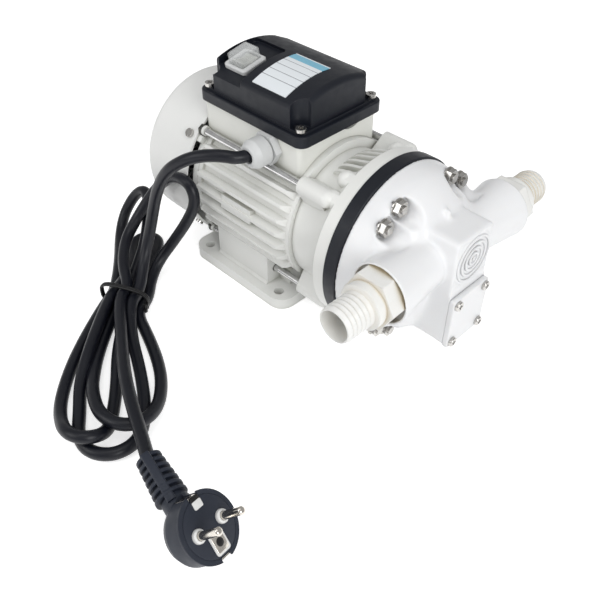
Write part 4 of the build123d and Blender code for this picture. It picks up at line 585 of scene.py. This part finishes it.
def tie_loop():
    """Two turns of a thin tie round the bundle, with one twisted end."""
    half_width, half_height, middle = 19.2, 9.2, 10.6
    squareness = 0.6
    turns, steps, pitch, sides, radius = 2, 48, 1.6, 10, 1.1
    path = []

    def eased(value):
        return math.copysign(abs(value) ** squareness, value)

    for step in range(turns * steps + 1):
        angle = math.tau * step / steps
        along = -pitch + 2 * pitch * step / (turns * steps)
        place = (tie_centre + tie_along * along
                 + tie_across * (half_width * eased(math.cos(angle))))
        path.append(mm(place.x, place.y, middle + half_height * eased(math.sin(angle))))
    for step in range(10):
        angle = step * 0.9
        place = (tie_centre + tie_along * (pitch + step * 0.9)
                 + tie_across * (half_width + 0.4 + step * 0.35))
        path.append(mm(place.x + 0.8 * math.cos(angle), place.y,
                       middle + 0.8 * math.sin(angle)))
    mesh = bmesh.new()
    sections = []
    for here, place in enumerate(path):
        ahead = path[min(here + 1, len(path) - 1)] - path[max(here - 1, 0)]
        matrix = axes_at(place, ahead, (0.3, 0.2, 1.0))
        sections.append([mesh.verts.new(matrix @ (Vector((x, y, 0)) * MM))
                         for x, y in disc_outline(radius, steps=sides)])
    for one, two in zip(sections, sections[1:]):
        for k in range(sides):
            after = (k + 1) % sides
            mesh.faces.new((one[k], one[after], two[after], two[k]))
    mesh.faces.new(sections[0])
    mesh.faces.new(sections[-1][::-1])
    return mesh


tie = new_piece("tie_loop", tie_loop(), "tie_black")
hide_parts("hank_tie")

# ---------------------------------------------------------------- studio
FLOOR_REACH = 4
floor_mesh = bpy.data.meshes.new("floor")
floor_mesh.from_pydata([(-FLOOR_REACH, -FLOOR_REACH, 0), (FLOOR_REACH, -FLOOR_REACH, 0),
                        (FLOOR_REACH, FLOOR_REACH, 0), (-FLOOR_REACH, FLOOR_REACH, 0)],
                       [], [(0, 1, 2, 3)])
floor = bpy.data.objects.new("floor", floor_mesh)
scene.collection.objects.link(floor)


def paper_floor():
    """White paper: seen by the camera and in reflections as near white, with a soft shadow."""
    look = Look("floor_paper", (0.86, 0.86, 0.86), 0.9)
    output = look.tree.nodes["Material Output"]
    rays = look.add("ShaderNodeLightPath")
    seen = look.add("ShaderNodeMath", operation="MAXIMUM")
    look.link(rays.outputs["Is Camera Ray"], seen.inputs[0])
    look.link(rays.outputs["Is Glossy Ray"], seen.inputs[1])
    seen_too = look.add("ShaderNodeMath", operation="MAXIMUM")
    look.link(seen.outputs["Value"], seen_too.inputs[0])
    look.link(rays.outputs["Is Transmission Ray"], seen_too.inputs[1])
    white = look.add("ShaderNodeEmission")
    white.inputs["Color"].default_value = (1.0, 1.0, 1.0, 1.0)
    white.inputs["Strength"].default_value = 0.62
    both = look.add("ShaderNodeAddShader")
    plain = look.shader.outputs["BSDF"]
    look.link(plain, both.inputs[0])
    look.link(white.outputs["Emission"], both.inputs[1])
    mix = look.add("ShaderNodeMixShader")
    look.link(seen_too.outputs["Value"], mix.inputs["Fac"])
    look.link(plain, mix.inputs[1])
    look.link(both.outputs["Shader"], mix.inputs[2])
    look.link(mix.outputs["Shader"], output.inputs["Surface"])
    return look.material


floor_mesh.materials.append(paper_floor())

world = bpy.data.worlds.new("studio")
scene.world = world
world.use_nodes = True
world.node_tree.nodes["Background"].inputs["Color"].default_value = (1.0, 1.0, 1.0, 1.0)
world.node_tree.nodes["Background"].inputs["Strength"].default_value = 0.44


def soft_box(name, place, target, size, watts):
    """A rectangular lamp at one place, aimed at another."""
    lamp = bpy.data.lights.new(name, "AREA")
    lamp.shape = "RECTANGLE"
    lamp.size, lamp.size_y = size
    lamp.energy = watts
    holder = bpy.data.objects.new(name, lamp)
    scene.collection.objects.link(holder)
    holder.location = place
    holder.rotation_euler = (Vector(target) - Vector(place)).to_track_quat("-Z", "Y").to_euler()


soft_box("left_light", (-0.35, -1.1, 0.75), (0.0, 0.0, 0.06), (0.7, 0.7), 4.2)
soft_box("front_light", (1.15, -0.35, 0.65), (0.05, 0.0, 0.08), (0.7, 0.7), 7.6)
soft_box("top_light", (0.1, -0.3, 1.3), (0.05, 0.0, 0.05), (0.6, 0.6), 2.4)

scene.view_settings.view_transform = "Standard"
